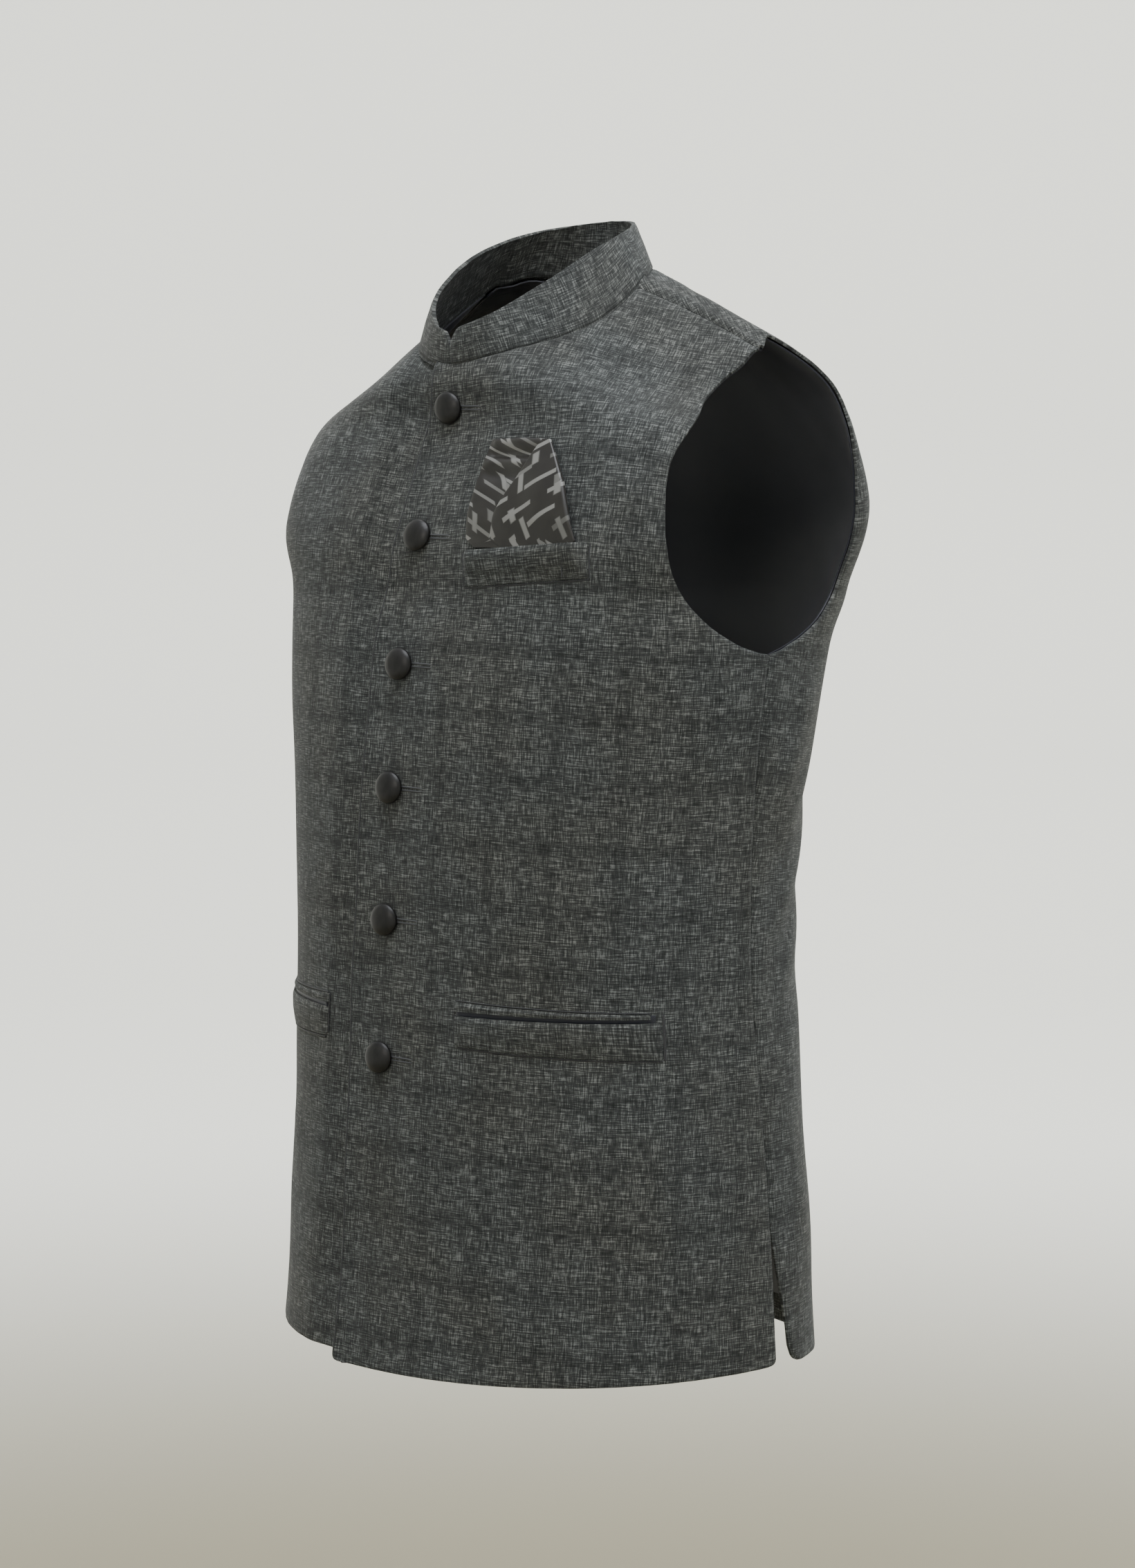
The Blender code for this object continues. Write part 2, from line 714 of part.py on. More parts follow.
def neck_edge(angle):
    """Neckline point and the direction that leaves the panels there, at signed degrees round."""
    u, v = neck_place(angle)
    nearby = form_point(*neck_place(angle + 1)) - form_point(*neck_place(angle - 1))
    normal = form_normal(u, v)
    off_panel = normal.cross(nearby).normalized()
    if off_panel.z < 0:
        off_panel = -off_panel
    return form_point(u, v), normal, off_panel


def neck_stations(side):
    """Places along one half of the collar's foot, from centre back to front: length, angle and directions."""
    angles = back_neck_angles()[::-1] + front_neck_angles(0.0)[-2:0:-1]
    stations = []
    length = 0.0
    for angle in angles:
        point, normal, off_panel = neck_edge(side * angle)
        if stations:
            length += (point - stations[-1][2]).length
        stations.append((length, angle, point, normal, off_panel))
    return stations


def station_at(stations, length):
    """Angle, point, normal and direction off the panel at a length along the collar's foot."""
    index = 0
    while index < len(stations) - 2 and stations[index + 1][0] < length:
        index += 1
    here, ahead = stations[index], stations[index + 1]
    share = (length - here[0]) / (ahead[0] - here[0])
    angle = here[1] + (ahead[1] - here[1]) * share
    return angle, here[2].lerp(ahead[2], share), here[3].lerp(ahead[3], share), here[4].lerp(ahead[4], share)


def collar_cut(height, full_height):
    """How far the collar's front end is cut back at a height: the notch, then the round corner."""
    over = max(height - (full_height - COLLAR_CORNER), 0) / COLLAR_CORNER
    corner = COLLAR_CORNER * (1 - math.sqrt(max(1 - over * over, 0.0)))
    return corner + COLLAR_NOTCH * smooth((height - COLLAR_NOTCH_HEIGHT) / COLLAR_NOTCH_RISE)


def make_collar(name, material):
    """Stand collar: a band from one front end round the neck to the other, with rounded top corners."""
    halves = {side: neck_stations(side) for side in (1, -1)}
    split = COLLAR_SPLIT
    cells = (len(halves[1]) - 1) * split
    end_height = (collar_top(0) - neck_edge(0)[0]).length

    def foot(stations, length):
        angle, point, normal, off_panel = station_at(stations, length)
        return angle, point + off_panel * GAP, normal

    def place(column, row, inside):
        side = 1 if column <= cells else -1
        step = abs(cells - column)
        stations = halves[side]
        here = stations[step // split]
        ahead = stations[min(step // split + 1, len(stations) - 1)]
        total = stations[-1][0] - COLLAR_PARTING
        length = min(here[0] + (ahead[0] - here[0]) * (step % split) / split, total)
        up = 1 - (1 - row / COLLAR_ROWS) ** COLLAR_CROWDING
        cut = collar_cut(end_height * up, end_height)
        length -= cut * smooth(1 - (total - length) / COLLAR_CORNER_REACH)
        angle, base, normal = foot(stations, length)
        nearby = foot(stations, length - 4)[1]
        rise = collar_top(side * angle) - base
        face = rise.cross(nearby - base).normalized()
        if face.dot(Vector((base.x, base.y - NECK_CENTRE_Y, 0))) < 0:
            face = -face
        lapped = side < 0 and base.y < NECK_CENTRE_Y
        sink = lap_depth(-abs(base.x)) if lapped else 0.0
        return base + rise * up - normal * sink - face * (COLLAR_CLOTH if inside else 0.0)

    return make_wall(name, 2 * cells, COLLAR_ROWS, place, material)


def pocket_place(pocket, across, up, drop):
    """Place on the front inside a pocket piece's four corners, all lowered by a drop."""
    low = Vector(pocket.inner_bottom).lerp(Vector(pocket.outer_bottom), across)
    high = Vector(pocket.inner_top).lerp(Vector(pocket.outer_top), across)
    reach, height = low.lerp(high, up)
    return front_place(reach, height - drop)


def make_strip(name, side, pocket, cells, mouth, material):
    """A strip of cloth that lies on a front, its top edge standing off it by the mouth."""
    columns, rows = cells
    drop = UNDER_POCKET_DROP if side < 0 else 0

    def place(column, row, inside):
        across = column / columns if side > 0 else 1 - column / columns
        up = row / rows
        u, v = pocket_place(pocket, across, up, drop)
        ends = smooth(min(across, 1 - across) / STRIP_END_SHARE)
        out = GAP + STRIP_LIFT + mouth * ends * smooth(up)
        return cloth_point(side * u, v, out + (0.0 if inside else WELT_CLOTH))

    return make_wall(name, columns, rows, place, material)


def square_row(up):
    """Height and the three edges of the pocket square at a share of its rise."""
    steps = (len(SQUARE_ROWS) - 1) * up
    index = min(int(steps), len(SQUARE_ROWS) - 2)
    share = steps - index
    return [here + (ahead - here) * share for here, ahead in zip(SQUARE_ROWS[index], SQUARE_ROWS[index + 1])]


def make_pocket_square(name, material):
    """Pocket square: one folded sheet, a rear fold and a front fold, with its foot in the breast welt."""
    turn_start = SQUARE_REAR_COLUMNS
    turn_end = turn_start + SQUARE_TURN_COLUMNS
    columns = turn_end + SQUARE_FRONT_COLUMNS
    half = SQUARE_CLOTH / 2

    def place(column, row, inside):
        up = row / SQUARE_GRID_ROWS
        height, left, slant, right = square_row(up)
        above = smooth((height - SQUARE_SINK_Z) / SQUARE_RISE)
        rear = GAP + STRIP_LIFT + half + SQUARE_LIFT * above
        puff = SQUARE_PUFF * math.sin(math.pi * up)
        spread = SQUARE_CLOTH + SQUARE_FOLD_GAP + above * (SQUARE_FOLD_GAP + puff)
        if column <= turn_start:
            reach = left + (right - left) * column / turn_start
            out, facing = rear, (0.0, 1.0)
        elif column < turn_end:
            turn = math.pi * ((column - turn_start) / SQUARE_TURN_COLUMNS - 0.5)
            reach = right + spread / 2 * math.cos(turn)
            out = rear + spread / 2 * (1 + math.sin(turn))
            facing = (-math.cos(turn), -math.sin(turn))
        else:
            reach = right + (slant - right) * (column - turn_end) / SQUARE_FRONT_COLUMNS
            out, facing = rear + spread, (0.0, -1.0)
        step = -half if inside else half
        reach += facing[0] * step
        out += facing[1] * step
        u, v = front_place(reach, height)
        return cloth_point(u, v, out)

    return make_wall(name, columns, SQUARE_GRID_ROWS, place, material)


def make_button_mesh(material):
    """Turned button: a narrow shank, a flat back and a domed face."""
    mesh = bpy.data.meshes.new("button")
    bm = bmesh.new()
    verts = [bm.verts.new((radius * MM, 0, height * MM)) for radius, height in BUTTON_PROFILE[::-1]]
    for here, ahead in zip(verts, verts[1:]):
        bm.edges.new((here, ahead))
    bm.to_mesh(mesh)
    bm.free()
    mesh.materials.append(material)
    return mesh


def make_buttons(material):
    """Buttons down the lap, each standing on the cloth and square to it."""
    mesh = make_button_mesh(material)
    for index, height in enumerate(BUTTON_HEIGHTS):
        name = "button_" + str(index + 1)
        shift = max(4 - 2 * index, 0)
        u, v = front_place(shift, height)
        button = bpy.data.objects.new(name, mesh)
        PARTS.objects.link(button)
        screw = button.modifiers.new("turn", "SCREW")
        screw.steps = BUTTON_STEPS
        screw.render_steps = BUTTON_STEPS
        screw.use_merge_vertices = True
        screw.merge_threshold = 0.00001
        screw.use_smooth_shade = True
        normal = form_normal(u, v)
        turn = normal.to_track_quat("Z", "Y").to_matrix().to_4x4()
        button.matrix_world = Matrix.Translation(cloth_point(u, v, GAP) * MM) @ turn


def cloth_material(name, colour, roughness, metallic=0.0):
    """Plain surface in a real colour, given as shares of red, green and blue."""
    material = bpy.data.materials.new(name)
    material.use_nodes = True
    shader = material.node_tree.nodes["Principled BSDF"]
    shader.inputs["Base Color"].default_value = (*colour, 1.0)
    shader.inputs["Roughness"].default_value = roughness
    shader.inputs["Metallic"].default_value = metallic
    return material


def wool(name):
    return cloth_material(name, (0.085, 0.088, 0.095), 0.9)


def clear_scene():
    """Start from an empty file."""
    for item in list(bpy.data.objects):
        bpy.data.objects.remove(item, do_unlink=True)


clear_scene()
PARTS = bpy.data.collections.new("waistcoat")
bpy.context.scene.collection.children.link(PARTS)

for side_name, side_sign in (("left", 1), ("right", -1)):
    make_front("front_" + side_name, side_sign, wool("wool front " + side_name))
    make_front_lining(
        "lining_front_" + side_name,
        side_sign,
        cloth_material("lining front " + side_name, (0.012, 0.014, 0.022), 0.55),
    )
    welt_wool = wool("wool welt " + side_name)
    make_strip("hip_welt_" + side_name, side_sign, HIP_WELT, (12, 2), HIP_WELT_MOUTH, welt_wool)
    make_strip("hip_lip_" + side_name, side_sign, HIP_LIP, (12, 1), HIP_LIP_MOUTH, welt_wool)

make_back_wall("back", HEM_Z, lambda across, up: 0.0, CLOTH, 0.0, wool("wool back"))
make_back_wall(
    "lining_back",
    HEM_Z + LINING_HEM_RISE,
    lambda across, up: lining_lift(across, up, LINING_TOP_PLAY),
    LINING,
    LINING_SETBACK,
    cloth_material("lining back", (0.012, 0.014, 0.022), 0.55),
)
make_collar("collar", wool("wool collar"))
make_strip("breast_welt", 1, BREAST_WELT, (10, 3), WELT_MOUTH, wool("wool breast welt"))
make_pocket_square("pocket_square", cloth_material("satin", (0.075, 0.068, 0.066), 0.4))
make_buttons(cloth_material("horn", (0.018, 0.014, 0.013), 0.35))
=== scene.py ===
"""Sleeveless waistcoat with a stand collar, dressed in its cloth, lining, stitching and buttons.

Every piece is worked out from the garment's own sizes in millimetres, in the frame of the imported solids:
up is +Z, the front faces -Y and the wearer's left is +X.
"""
import math
from collections import namedtuple

import bmesh
import bpy
import numpy as np
from mathutils import Matrix, Vector


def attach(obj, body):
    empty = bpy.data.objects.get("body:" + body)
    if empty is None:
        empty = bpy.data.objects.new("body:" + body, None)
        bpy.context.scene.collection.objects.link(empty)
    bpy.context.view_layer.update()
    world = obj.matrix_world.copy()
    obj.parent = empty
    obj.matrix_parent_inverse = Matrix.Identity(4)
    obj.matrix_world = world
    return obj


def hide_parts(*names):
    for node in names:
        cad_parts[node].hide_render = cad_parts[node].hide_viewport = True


bl_info = {
    "name": "Waistcoat",
    "version": (1, 0, 0),
    "blender": (4, 5, 0),
    "location": "3D View > Sidebar > Waistcoat",
    "description": "Dresses a stand-collar waistcoat in its cloth, lining, stitching and buttons",
    "category": "Object",
}

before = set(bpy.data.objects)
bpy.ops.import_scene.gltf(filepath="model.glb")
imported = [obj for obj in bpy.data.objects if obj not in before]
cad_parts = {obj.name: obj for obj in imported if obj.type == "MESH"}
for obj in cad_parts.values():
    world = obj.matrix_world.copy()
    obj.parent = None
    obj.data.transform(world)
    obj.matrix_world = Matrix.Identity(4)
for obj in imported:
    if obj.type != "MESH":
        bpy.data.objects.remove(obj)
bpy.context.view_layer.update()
MM = 0.001

# Cut of the fronts and back, in millimetres
GAP = 0.3
HEM_Z = -695
VENT_TOP_Z = -597
VENT_OPENING = 8
VENT_FRONT_SHARE = 0.15
VENT_FLARE = 4
VENT_FLARE_SHARE = 0.2
VENT_CORNER = 14
UNDERLAP_X = 20
LAP_EASE = 30
LAP_MARGIN = 3
LAP_PLAY = 3.4
LAP_DROP = 5.5
HEM_CORNER = 5
EDGE_CURL = 2.6
EDGE_CURL_WIDTH = 7
EDGE_CURL_ROWS = 4
UNDER_WEAVE_SHIFT = (17, 9)

# Linings
LINING_EDGE_X = 70
LINING_HEM_RISE = 22
LINING_SETBACK = 1.2
LINING_NECK_SETBACK = 4
LINING_EASE = 3.4
LINING_SEAM_GAPS = 3
LINING_PLAY = 1.3
LINING_TOP_PLAY = 1.5
LINING_SIDE_SHARE = 0.18
LINING_TOP_SHARE = 0.12
LINING_YOKE_SHARE = 0.25
LINING_BEVEL = 0.2
RIPPLE_WIDTH = 17
RIPPLE_LENGTH = 90
RIPPLE_DEPTH = 0.55
RIPPLE_START = 1.1
RIPPLE_BEND = 0.8
RIPPLE_BEND_LENGTH = 60
RIPPLE_FADE = 0.2

# Neck and collar
NECK_HALF_WIDTH = 79
NECK_HALF_DEPTH = 74
NECK_CENTRE_Y = -16
NECK_FIRST_DROP = 1.1
NECK_FIRST_RUN = 3.2
NECK_FIRST_CURVE = 1.2
NECK_FIRST_SHARE = 0.36
NECK_SEAM_RANGE = (60.0, 130.0)
COLLAR_TOP_HALF_WIDTH = 59
COLLAR_TOP_CENTRE_Y = -18
COLLAR_CORNER = 12
COLLAR_CORNER_REACH = 42
COLLAR_NOTCH = 2.5
COLLAR_NOTCH_HEIGHT = 5
COLLAR_NOTCH_RISE = 16
COLLAR_PARTING = 0.2
COLLAR_UNDER_SINK = 0.5
COLLAR_FOOT = 3.2
COLLAR_FOOT_DEPTH = 1.0
COLLAR_FOOT_ROWS = (-1.0, -0.6, -0.3, -0.1)
COLLAR_FOOT_CURVE = 0.6
COLLAR_HEIGHT = 44
COLLAR_BELLY = 0.9
COLLAR_BELLY_TOP = 0.6
COLLAR_BELLY_FOOT = 0.25
COLLAR_DIP = 0.6
COLLAR_DIPS = (1.0, 1.0, 0.0, 0.8)
COLLAR_BEVEL = 0.9
COLLAR_END_SHARE = 0.14
COLLAR_END_COLUMNS = 20
COLLAR_END_CROWDING = 1.6
COLLAR_STATIONS = 160
COLLAR_FIRST_ANGLE = 0.5
COLLAR_STEP = 4

# Buttons
BUTTON_HEIGHTS = (-83, -165, -247, -326, -411, -500)
BUTTON_TILT = 12
BUTTON_TWIST = 0.9
BUTTON_STEPS = 72

# How a section's height eases from the centre out to the side, and rough lengths of cloth from the
# centre line to the side line and from one section to the next
EASE = 0.25
PANEL_SPAN = 260
SECTION_SPAN = 40

# First guess of a place on the front: the reach of the side line and the share to look along
FIRST_REACH = 300
FIRST_SHARE = 0.3

# Counts along each run of a panel's edges, and how its rows crowd at the centre and its columns inward
LOWER_ROWS = 10
MIDDLE_ROWS = 10
UPPER_ROWS = 8
ALL_ROWS = LOWER_ROWS + MIDDLE_ROWS + UPPER_ROWS
ROW_DROP = 52
CENTRE_CROWDING = 1.35
COLUMN_CROWDING = 0.92
BACK_SHOULDER_COLUMNS = 6
BACK_NECK_COLUMNS = 12
BACK_COLUMNS = 2 * BACK_SHOULDER_COLUMNS + BACK_NECK_COLUMNS
LENGTH_LINE = 0.4

# Fine rows and columns of the cloth, and distances from a sewn or turned edge at which more are added
FINE_ROWS = (68, 52, 30)
LINING_FINE_ROWS = (34, 28, 18)
FRONT_FINE = 66
BACK_FINE = 132
LINING_FRONT_FINE = 30
LINING_BACK_FINE = 66
COLLAR_FINE = 210
COLLAR_FINE_ROWS = 16
EDGE_STEPS = (0.0, 0.5, 1.2, 2.2, 3.6, 5.4)
TOP_EDGE_STRETCH = 2.5

# Rough lengths and widths of cloth that these rows and columns share out, in millimetres
FRONT_ROW = 41
BACK_ROW = 46
FRONT_WIDTH = 290
BACK_WIDTH = 560
LINING_FRONT_WIDTH = 220
LINING_BACK_WIDTH = 540

# Share of a panel's rows, up from its hem, by which its flat cut is turned and scaled into place
FLAT_SHARE = 0.55

# Rounding of the cloth's edges: width in millimetres, steps, and least angle in degrees
CLOTH_BEVEL = 0.45
BEVEL_STEPS = 3
BEVEL_ANGLE = 50

# Shares of a sewn seam's dip that the turned cloth has at the armholes, the centre edges and the hem
ARMHOLE_DIP = 0.45
CENTRE_DIP = 0.3
HEM_DIP = 0.4

# The worn form in level sections, from the hem up to the underarm
Level = namedtuple("Level", "height half_width side_y front_y back_y fullness")
BODY = [
    Level(-720, 195, 22, -171, 126, 0.62),
    Level(-620, 195, 14, -158, 121, 0.62),
    Level(-530, 193, 7, -151, 116, 0.62),
    Level(-440, 191, -1, -145, 114, 0.63),
    Level(-335, 196, -4, -140, 120, 0.64),
    Level(-240, 206, -2, -130, 132, 0.67),
    Level(-200, 209, 7, -122, 140, 0.72),
]
UNDERARM = 5

# Sections that climb the chest, cross the shoulder and come down to the shoulder blades
Arch = namedtuple("Arch", "centre_z side_z half_width centre_y side_y turn fullness")
CHEST = Arch(-165, -160, 208, -117, -4, 98, 0.70)
YOKE = Arch(-97, -100, 201, -94, 0, 88, 0.73)
COLLARBONE = Arch(-46, -75, 190, -85, 1, 39, 0.63)
SHOULDER_SEAM = Arch(18, -48, 180, -4, 19, 0, 0.63)
RIDGE = Arch(24, -49, 182, 16, 25, 0, 0.63)
BACK_NECK = Arch(17, -45, 186, 44, 38, 13, 0.64)
BLADE_TOP = Arch(-48, -73, 200, 98, 68, 75, 0.64)
BLADE = Arch(-145, -140, 208, 131, 59, 94, 0.70)
SHOULDERS = [CHEST, YOKE, COLLARBONE, SHOULDER_SEAM, RIDGE, BACK_NECK, BLADE_TOP, BLADE]
SEAM = len(BODY) + SHOULDERS.index(SHOULDER_SEAM)

# Armhole edges. Round is the share of the way from the centre line to the side line.
Notch = namedtuple("Notch", "round height")
FRONT_ARMHOLE = [
    Notch(0.94, -234),
    Notch(0.87, -228),
    Notch(0.79, -218),
    Notch(0.71, -204),
    Notch(0.66, -190),
    Notch(0.628, -174),
    Notch(0.61, -149),
    Notch(0.612, -124),
    Notch(0.642, -109),
    Notch(0.70, -97),
    Notch(0.80, -84),
    Notch(0.875, -73),
    Notch(0.922, -62),
    Notch(0.952, -55),
]
UNDERARM_Z = -237
ARMHOLE_LOW = 3
ARMHOLE_BACK_TOP = 2.2
BACK_ARMHOLE = [
    Notch(0.94, -232),
    Notch(0.88, -226),
    Notch(0.82, -218),
    Notch(0.785, -207),
    Notch(0.775, -195),
    Notch(0.81, -176),
    Notch(0.86, -157),
    Notch(0.905, -137),
    Notch(0.92, -115),
    Notch(0.915, -92),
    Notch(0.905, -74),
]
Crossing = namedtuple("Crossing", "round place")
SHOULDER_CROSSING = [
    Crossing(0.915, 2.45),
    Crossing(0.945, 1.80),
    Crossing(0.970, 0.90),
]
SHOULDER_TIP = 0.975

# Centre edge of the lapped front: how far past the centre line it reaches at each height
Edge = namedtuple("Edge", "height past_centre")
FRONT_EDGE = [
    Edge(-695, 27),
    Edge(-460, 33),
    Edge(-250, 29),
    Edge(-120, 18),
    Edge(-59, 16),
]

# Height of the collar's top edge at each number of degrees round the neck from the centre front
CollarRib = namedtuple("CollarRib", "angle top_z")
COLLAR_RIBS = [
    CollarRib(0, -32),
    CollarRib(30, -23),
    CollarRib(60, -3),
    CollarRib(90, 19),
    CollarRib(120, 33),
    CollarRib(150, 39),
    CollarRib(180, 41),
]

# Soft folds of the worn cloth, each a line from one place to another: side is +1 for the wearer's left,
# face is -1 for the front and +1 for the back, and a negative depth is a trough
Fold = namedtuple("Fold", "side face from_round from_height to_round to_height width depth")
FOLDS = [
    Fold(1, 1, 0.99, -392, 0.52, -318, 15, -2.4),
    Fold(1, 1, 0.97, -436, 0.50, -372, 17, -2.8),
    Fold(1, 1, 0.95, -478, 0.58, -440, 15, -1.9),
    Fold(1, 1, 0.78, -262, 0.92, -335, 16, 1.8),
    Fold(-1, 1, 0.99, -405, 0.55, -325, 16, -2.2),
    Fold(-1, 1, 0.96, -452, 0.48, -388, 17, -2.7),
    Fold(-1, 1, 0.80, -270, 0.93, -345, 15, 1.6),
    Fold(1, -1, 0.97, -300, 0.70, -372, 18, -1.4),
    Fold(-1, -1, 0.97, -310, 0.66, -384, 18, -1.6),
    Fold(-1, -1, 0.60, -520, 0.72, -640, 20, 1.6),
    Fold(1, -1, 0.42, -530, 0.36, -670, 24, 1.4),
]

# Finer creases that only the dressed cloth has, in the same columns
CREASES = [
    Fold(1, 1, 0.98, -352, 0.70, -300, 8, -0.9),
    Fold(1, 1, 0.99, -414, 0.66, -352, 8, -1.1),
    Fold(1, 1, 0.98, -458, 0.74, -412, 7, -0.8),
    Fold(1, 1, 0.86, -268, 0.93, -318, 7, -0.8),
    Fold(1, 1, 0.90, -520, 0.78, -600, 10, 0.7),
    Fold(1, 1, 0.30, -150, 0.55, -235, 14, 0.9),
    Fold(-1, 1, 0.98, -362, 0.72, -308, 8, -0.8),
    Fold(-1, 1, 0.99, -430, 0.64, -366, 8, -1.0),
    Fold(-1, 1, 0.88, -272, 0.94, -325, 7, -0.7),
    Fold(-1, 1, 0.92, -530, 0.80, -606, 10, 0.7),
    Fold(-1, 1, 0.34, -160, 0.58, -240, 14, 0.8),
    Fold(1, -1, 0.96, -278, 0.80, -318, 8, -0.7),
    Fold(1, -1, 0.97, -405, 0.78, -432, 9, -0.7),
    Fold(1, -1, 0.30, -96, 0.56, -150, 12, 0.7),
    Fold(-1, -1, 0.96, -284, 0.82, -330, 8, -0.7),
    Fold(-1, -1, 0.97, -415, 0.76, -446, 9, -0.7),
    Fold(-1, -1, 0.30, -100, 0.55, -156, 12, 0.7),
    Fold(-1, -1, 0.46, -528, 0.14, -560, 8, -0.8),
    Fold(-1, -1, 0.44, -556, 0.13, -596, 9, 0.9),
    Fold(-1, -1, 0.47, -590, 0.15, -622, 8, -0.7),
    Fold(-1, -1, 0.42, -628, 0.16, -650, 9, -0.5),
]
CREASE_BOW = 3.0
FOLD_TAPER = 0.3
FOLD_SEAM_FADE = 0.1

# Slow waves of worn cloth over a form: length of the wave, its slant in degrees, its start and its height
Wave = namedtuple("Wave", "length slant start height")
WAVES = [
    Wave(212, 12, 0.7, 0.42),
    Wave(148, 97, 2.1, 0.30),
    Wave(96, 61, 4.0, 0.22),
    Wave(73, 141, 1.3, 0.14),
    Wave(41, 33, 5.2, 0.07),
]
WAVE_SEAM_FADE = 0.8

# Pucker that sewing leaves beside an edge: length of each small wave, its start and its share
Pucker = namedtuple("Pucker", "length start share")
PUCKERS = [
    Pucker(4.1, 0.0, 1.0),
    Pucker(2.6, 1.3, 0.7),
    Pucker(7.7, 0.4, 0.5),
]
PUCKER_HEIGHT = 0.09
PUCKER_WIDTH = 7.0

# Studio: radius and height of the floor as it curves up into the wall, and the lights, in metres
FLOOR_Z = -1.15
STAGE_STEPS = 96
STAGE_PROFILE = [(0, 0), (3.2, 0), (4.6, 0.02), (5.6, 0.35), (6.2, 1.0), (6.4, 2.0), (6.4, 5.0)]
SoftLight = namedtuple("SoftLight", "name location target size power colour")
MIDDLE = (0.0, 0.0, -0.33)
LIGHTS = [
    SoftLight("top_box", (0.7, -0.5, 2.4), MIDDLE, (2.0, 2.0), 108, "#f6f9ff"),
    SoftLight("side_box", (2.6, 0.9, 1.0), MIDDLE, (1.4, 2.0), 30, "#f4f7ff"),
    SoftLight("front_box", (1.5, -3.1, 1.1), MIDDLE, (1.4, 1.6), 24, "#fff8f0"),
    SoftLight("wall_box", (-1.4, 1.7, 3.6), (-4.1, 4.7, 0.0), (3.0, 2.0), 260, "#fffff8"),
]
SKY_COLOUR = "#f4f6f8"
SKY_POWER = 0.9

# Camera: place and far limit in metres, angles in degrees, sensor and lens in millimetres
CAMERA_PLACE = (2.016, -1.796, -0.081)
CAMERA_DOWN = 5.32
CAMERA_ROUND = 48.11
CAMERA_LENS = 93.48
CAMERA_SENSOR = 36
CAMERA_END = 60

# Pockets on the fronts: two top corners and two bottom corners, each by reach from the centre and height
Corner = namedtuple("Corner", "reach height")
Pocket = namedtuple("Pocket", "inner_top outer_top outer_bottom inner_bottom")
BREAST_WELT = Pocket(Corner(46, -174), Corner(144, -166), Corner(145, -188), Corner(49, -196))
HIP_WELT = Pocket(Corner(63, -465), Corner(175, -464), Corner(176, -490), Corner(64, -486))
HIP_LIP = Pocket(Corner(63, -458), Corner(172, -461), Corner(172, -464), Corner(63, -464))
WELT_MOUTH = 3.8
HIP_WELT_MOUTH = 0.6
HIP_CORNER = 3.0
UNDER_POCKET_DROP = 8
HIP_LIP_MOUTH = -0.6
WELT_CLOTH = 1.6
STRIP_LIFT = 0.4
STRIP_FLUSH = 1.2
HIP_SLIT = 1.9
STRIP_END_SHARE = 0.08
STRIP_COLUMNS = 56
STRIP_BEVEL = 0.5
STRIP_EDGE_SHARE = 0.22
STRIP_FREE_SHARE = 0.5
STRIP_DIPS = (0.5, 0.5, 0.5, 1.0)
STRIP_DIP = 0.6
STRIP_DIP_HEIGHT = 30
STRIP_WEAVE_SHIFT = 7.3
LIP_HEIGHT = 8

# Pocket square: height of each row and how far its edges lie from the centre line
SquareRow = namedtuple("SquareRow", "height left slant right")
SQUARE_ROWS = [
    SquareRow(-171, 57, 82, 131),
    SquareRow(-166, 49, 70, 136),
    SquareRow(-150, 48, 74, 128),
    SquareRow(-130, 49, 84, 119),
    SquareRow(-115, 50, 91, 109),
    SquareRow(-104, 52, 96, 101),
]
SQUARE_CLOTH = 0.9
SQUARE_SINK_Z = -170
SQUARE_RISE = 18
SQUARE_LIFT = 1.8
SQUARE_FOLD_GAP = 0.6
SQUARE_PUFF = 2.6
SQUARE_RIPPLE = 0.5
SQUARE_RIPPLE_WIDTH = 5.2
SQUARE_RIPPLE_HEIGHT = 11
SQUARE_PINCH = 1.3
SQUARE_PINCH_ACROSS = 9.0
SQUARE_PINCH_UP = 3.0
SQUARE_LEFT_FADE = 6
SQUARE_RIGHT_FADE = 10
SQUARE_REAR_COLUMNS = 30
SQUARE_TURN_COLUMNS = 8
SQUARE_FRONT_COLUMNS = 26
SQUARE_FINE_ROWS = 44
SQUARE_HEIGHT = 67
SQUARE_BEVEL = 0.25
Roll = namedtuple("Roll", "height width depth")
SQUARE_ROLLS = [
    Roll(-106, 3.4, 2.6),
    Roll(-113, 3.0, -1.9),
    Roll(-119, 3.0, 1.7),
    Roll(-126, 4.2, -1.9),
]


def all_sections():
    """Every section in order: up the front, over the shoulder and down the back."""
    front = [Arch(b.height, b.height, b.half_width, b.front_y, b.side_y, 90, b.fullness) for b in BODY]
    back = [Arch(b.height, b.height, b.half_width, b.back_y, b.side_y, 90, b.fullness) for b in BODY]
    return np.array(front + SHOULDERS + back[::-1], dtype=float)


SECTIONS = all_sections()
LAST = len(SECTIONS) - 1
BACK_UNDERARM = LAST - UNDERARM


def bezier(a, b, c, d, t):
    """Cubic curve through a and d, drawn toward b and c."""
    s = 1 - t
    return s * s * s * a + 3 * s * s * t * b + 3 * s * t * t * c + t * t * t * d


def spline(a, b, c, d, t):
    """Smooth step from b to c, with a before them and d after."""
    bend = (2 * a - 5 * b + 4 * c - d) * t * t
    return 0.5 * (2 * b + (c - a) * t + bend + (3 * b - a - 3 * c + d) * t ** 3)


def through(value_at, place, last):
    """Smooth curve through the values at the whole numbers from 0 to last."""
    index = np.minimum(place.astype(int), last - 1)
    here, ahead = value_at(index), value_at(index + 1)
    before = np.where((index > 0)[..., None], value_at(np.maximum(index - 1, 0)), 2 * here - ahead)
    after = np.where((index + 2 <= last)[..., None], value_at(np.minimum(index + 2, last)), 2 * ahead - here)
    return spline(before, here, ahead, after, (place - index)[..., None])


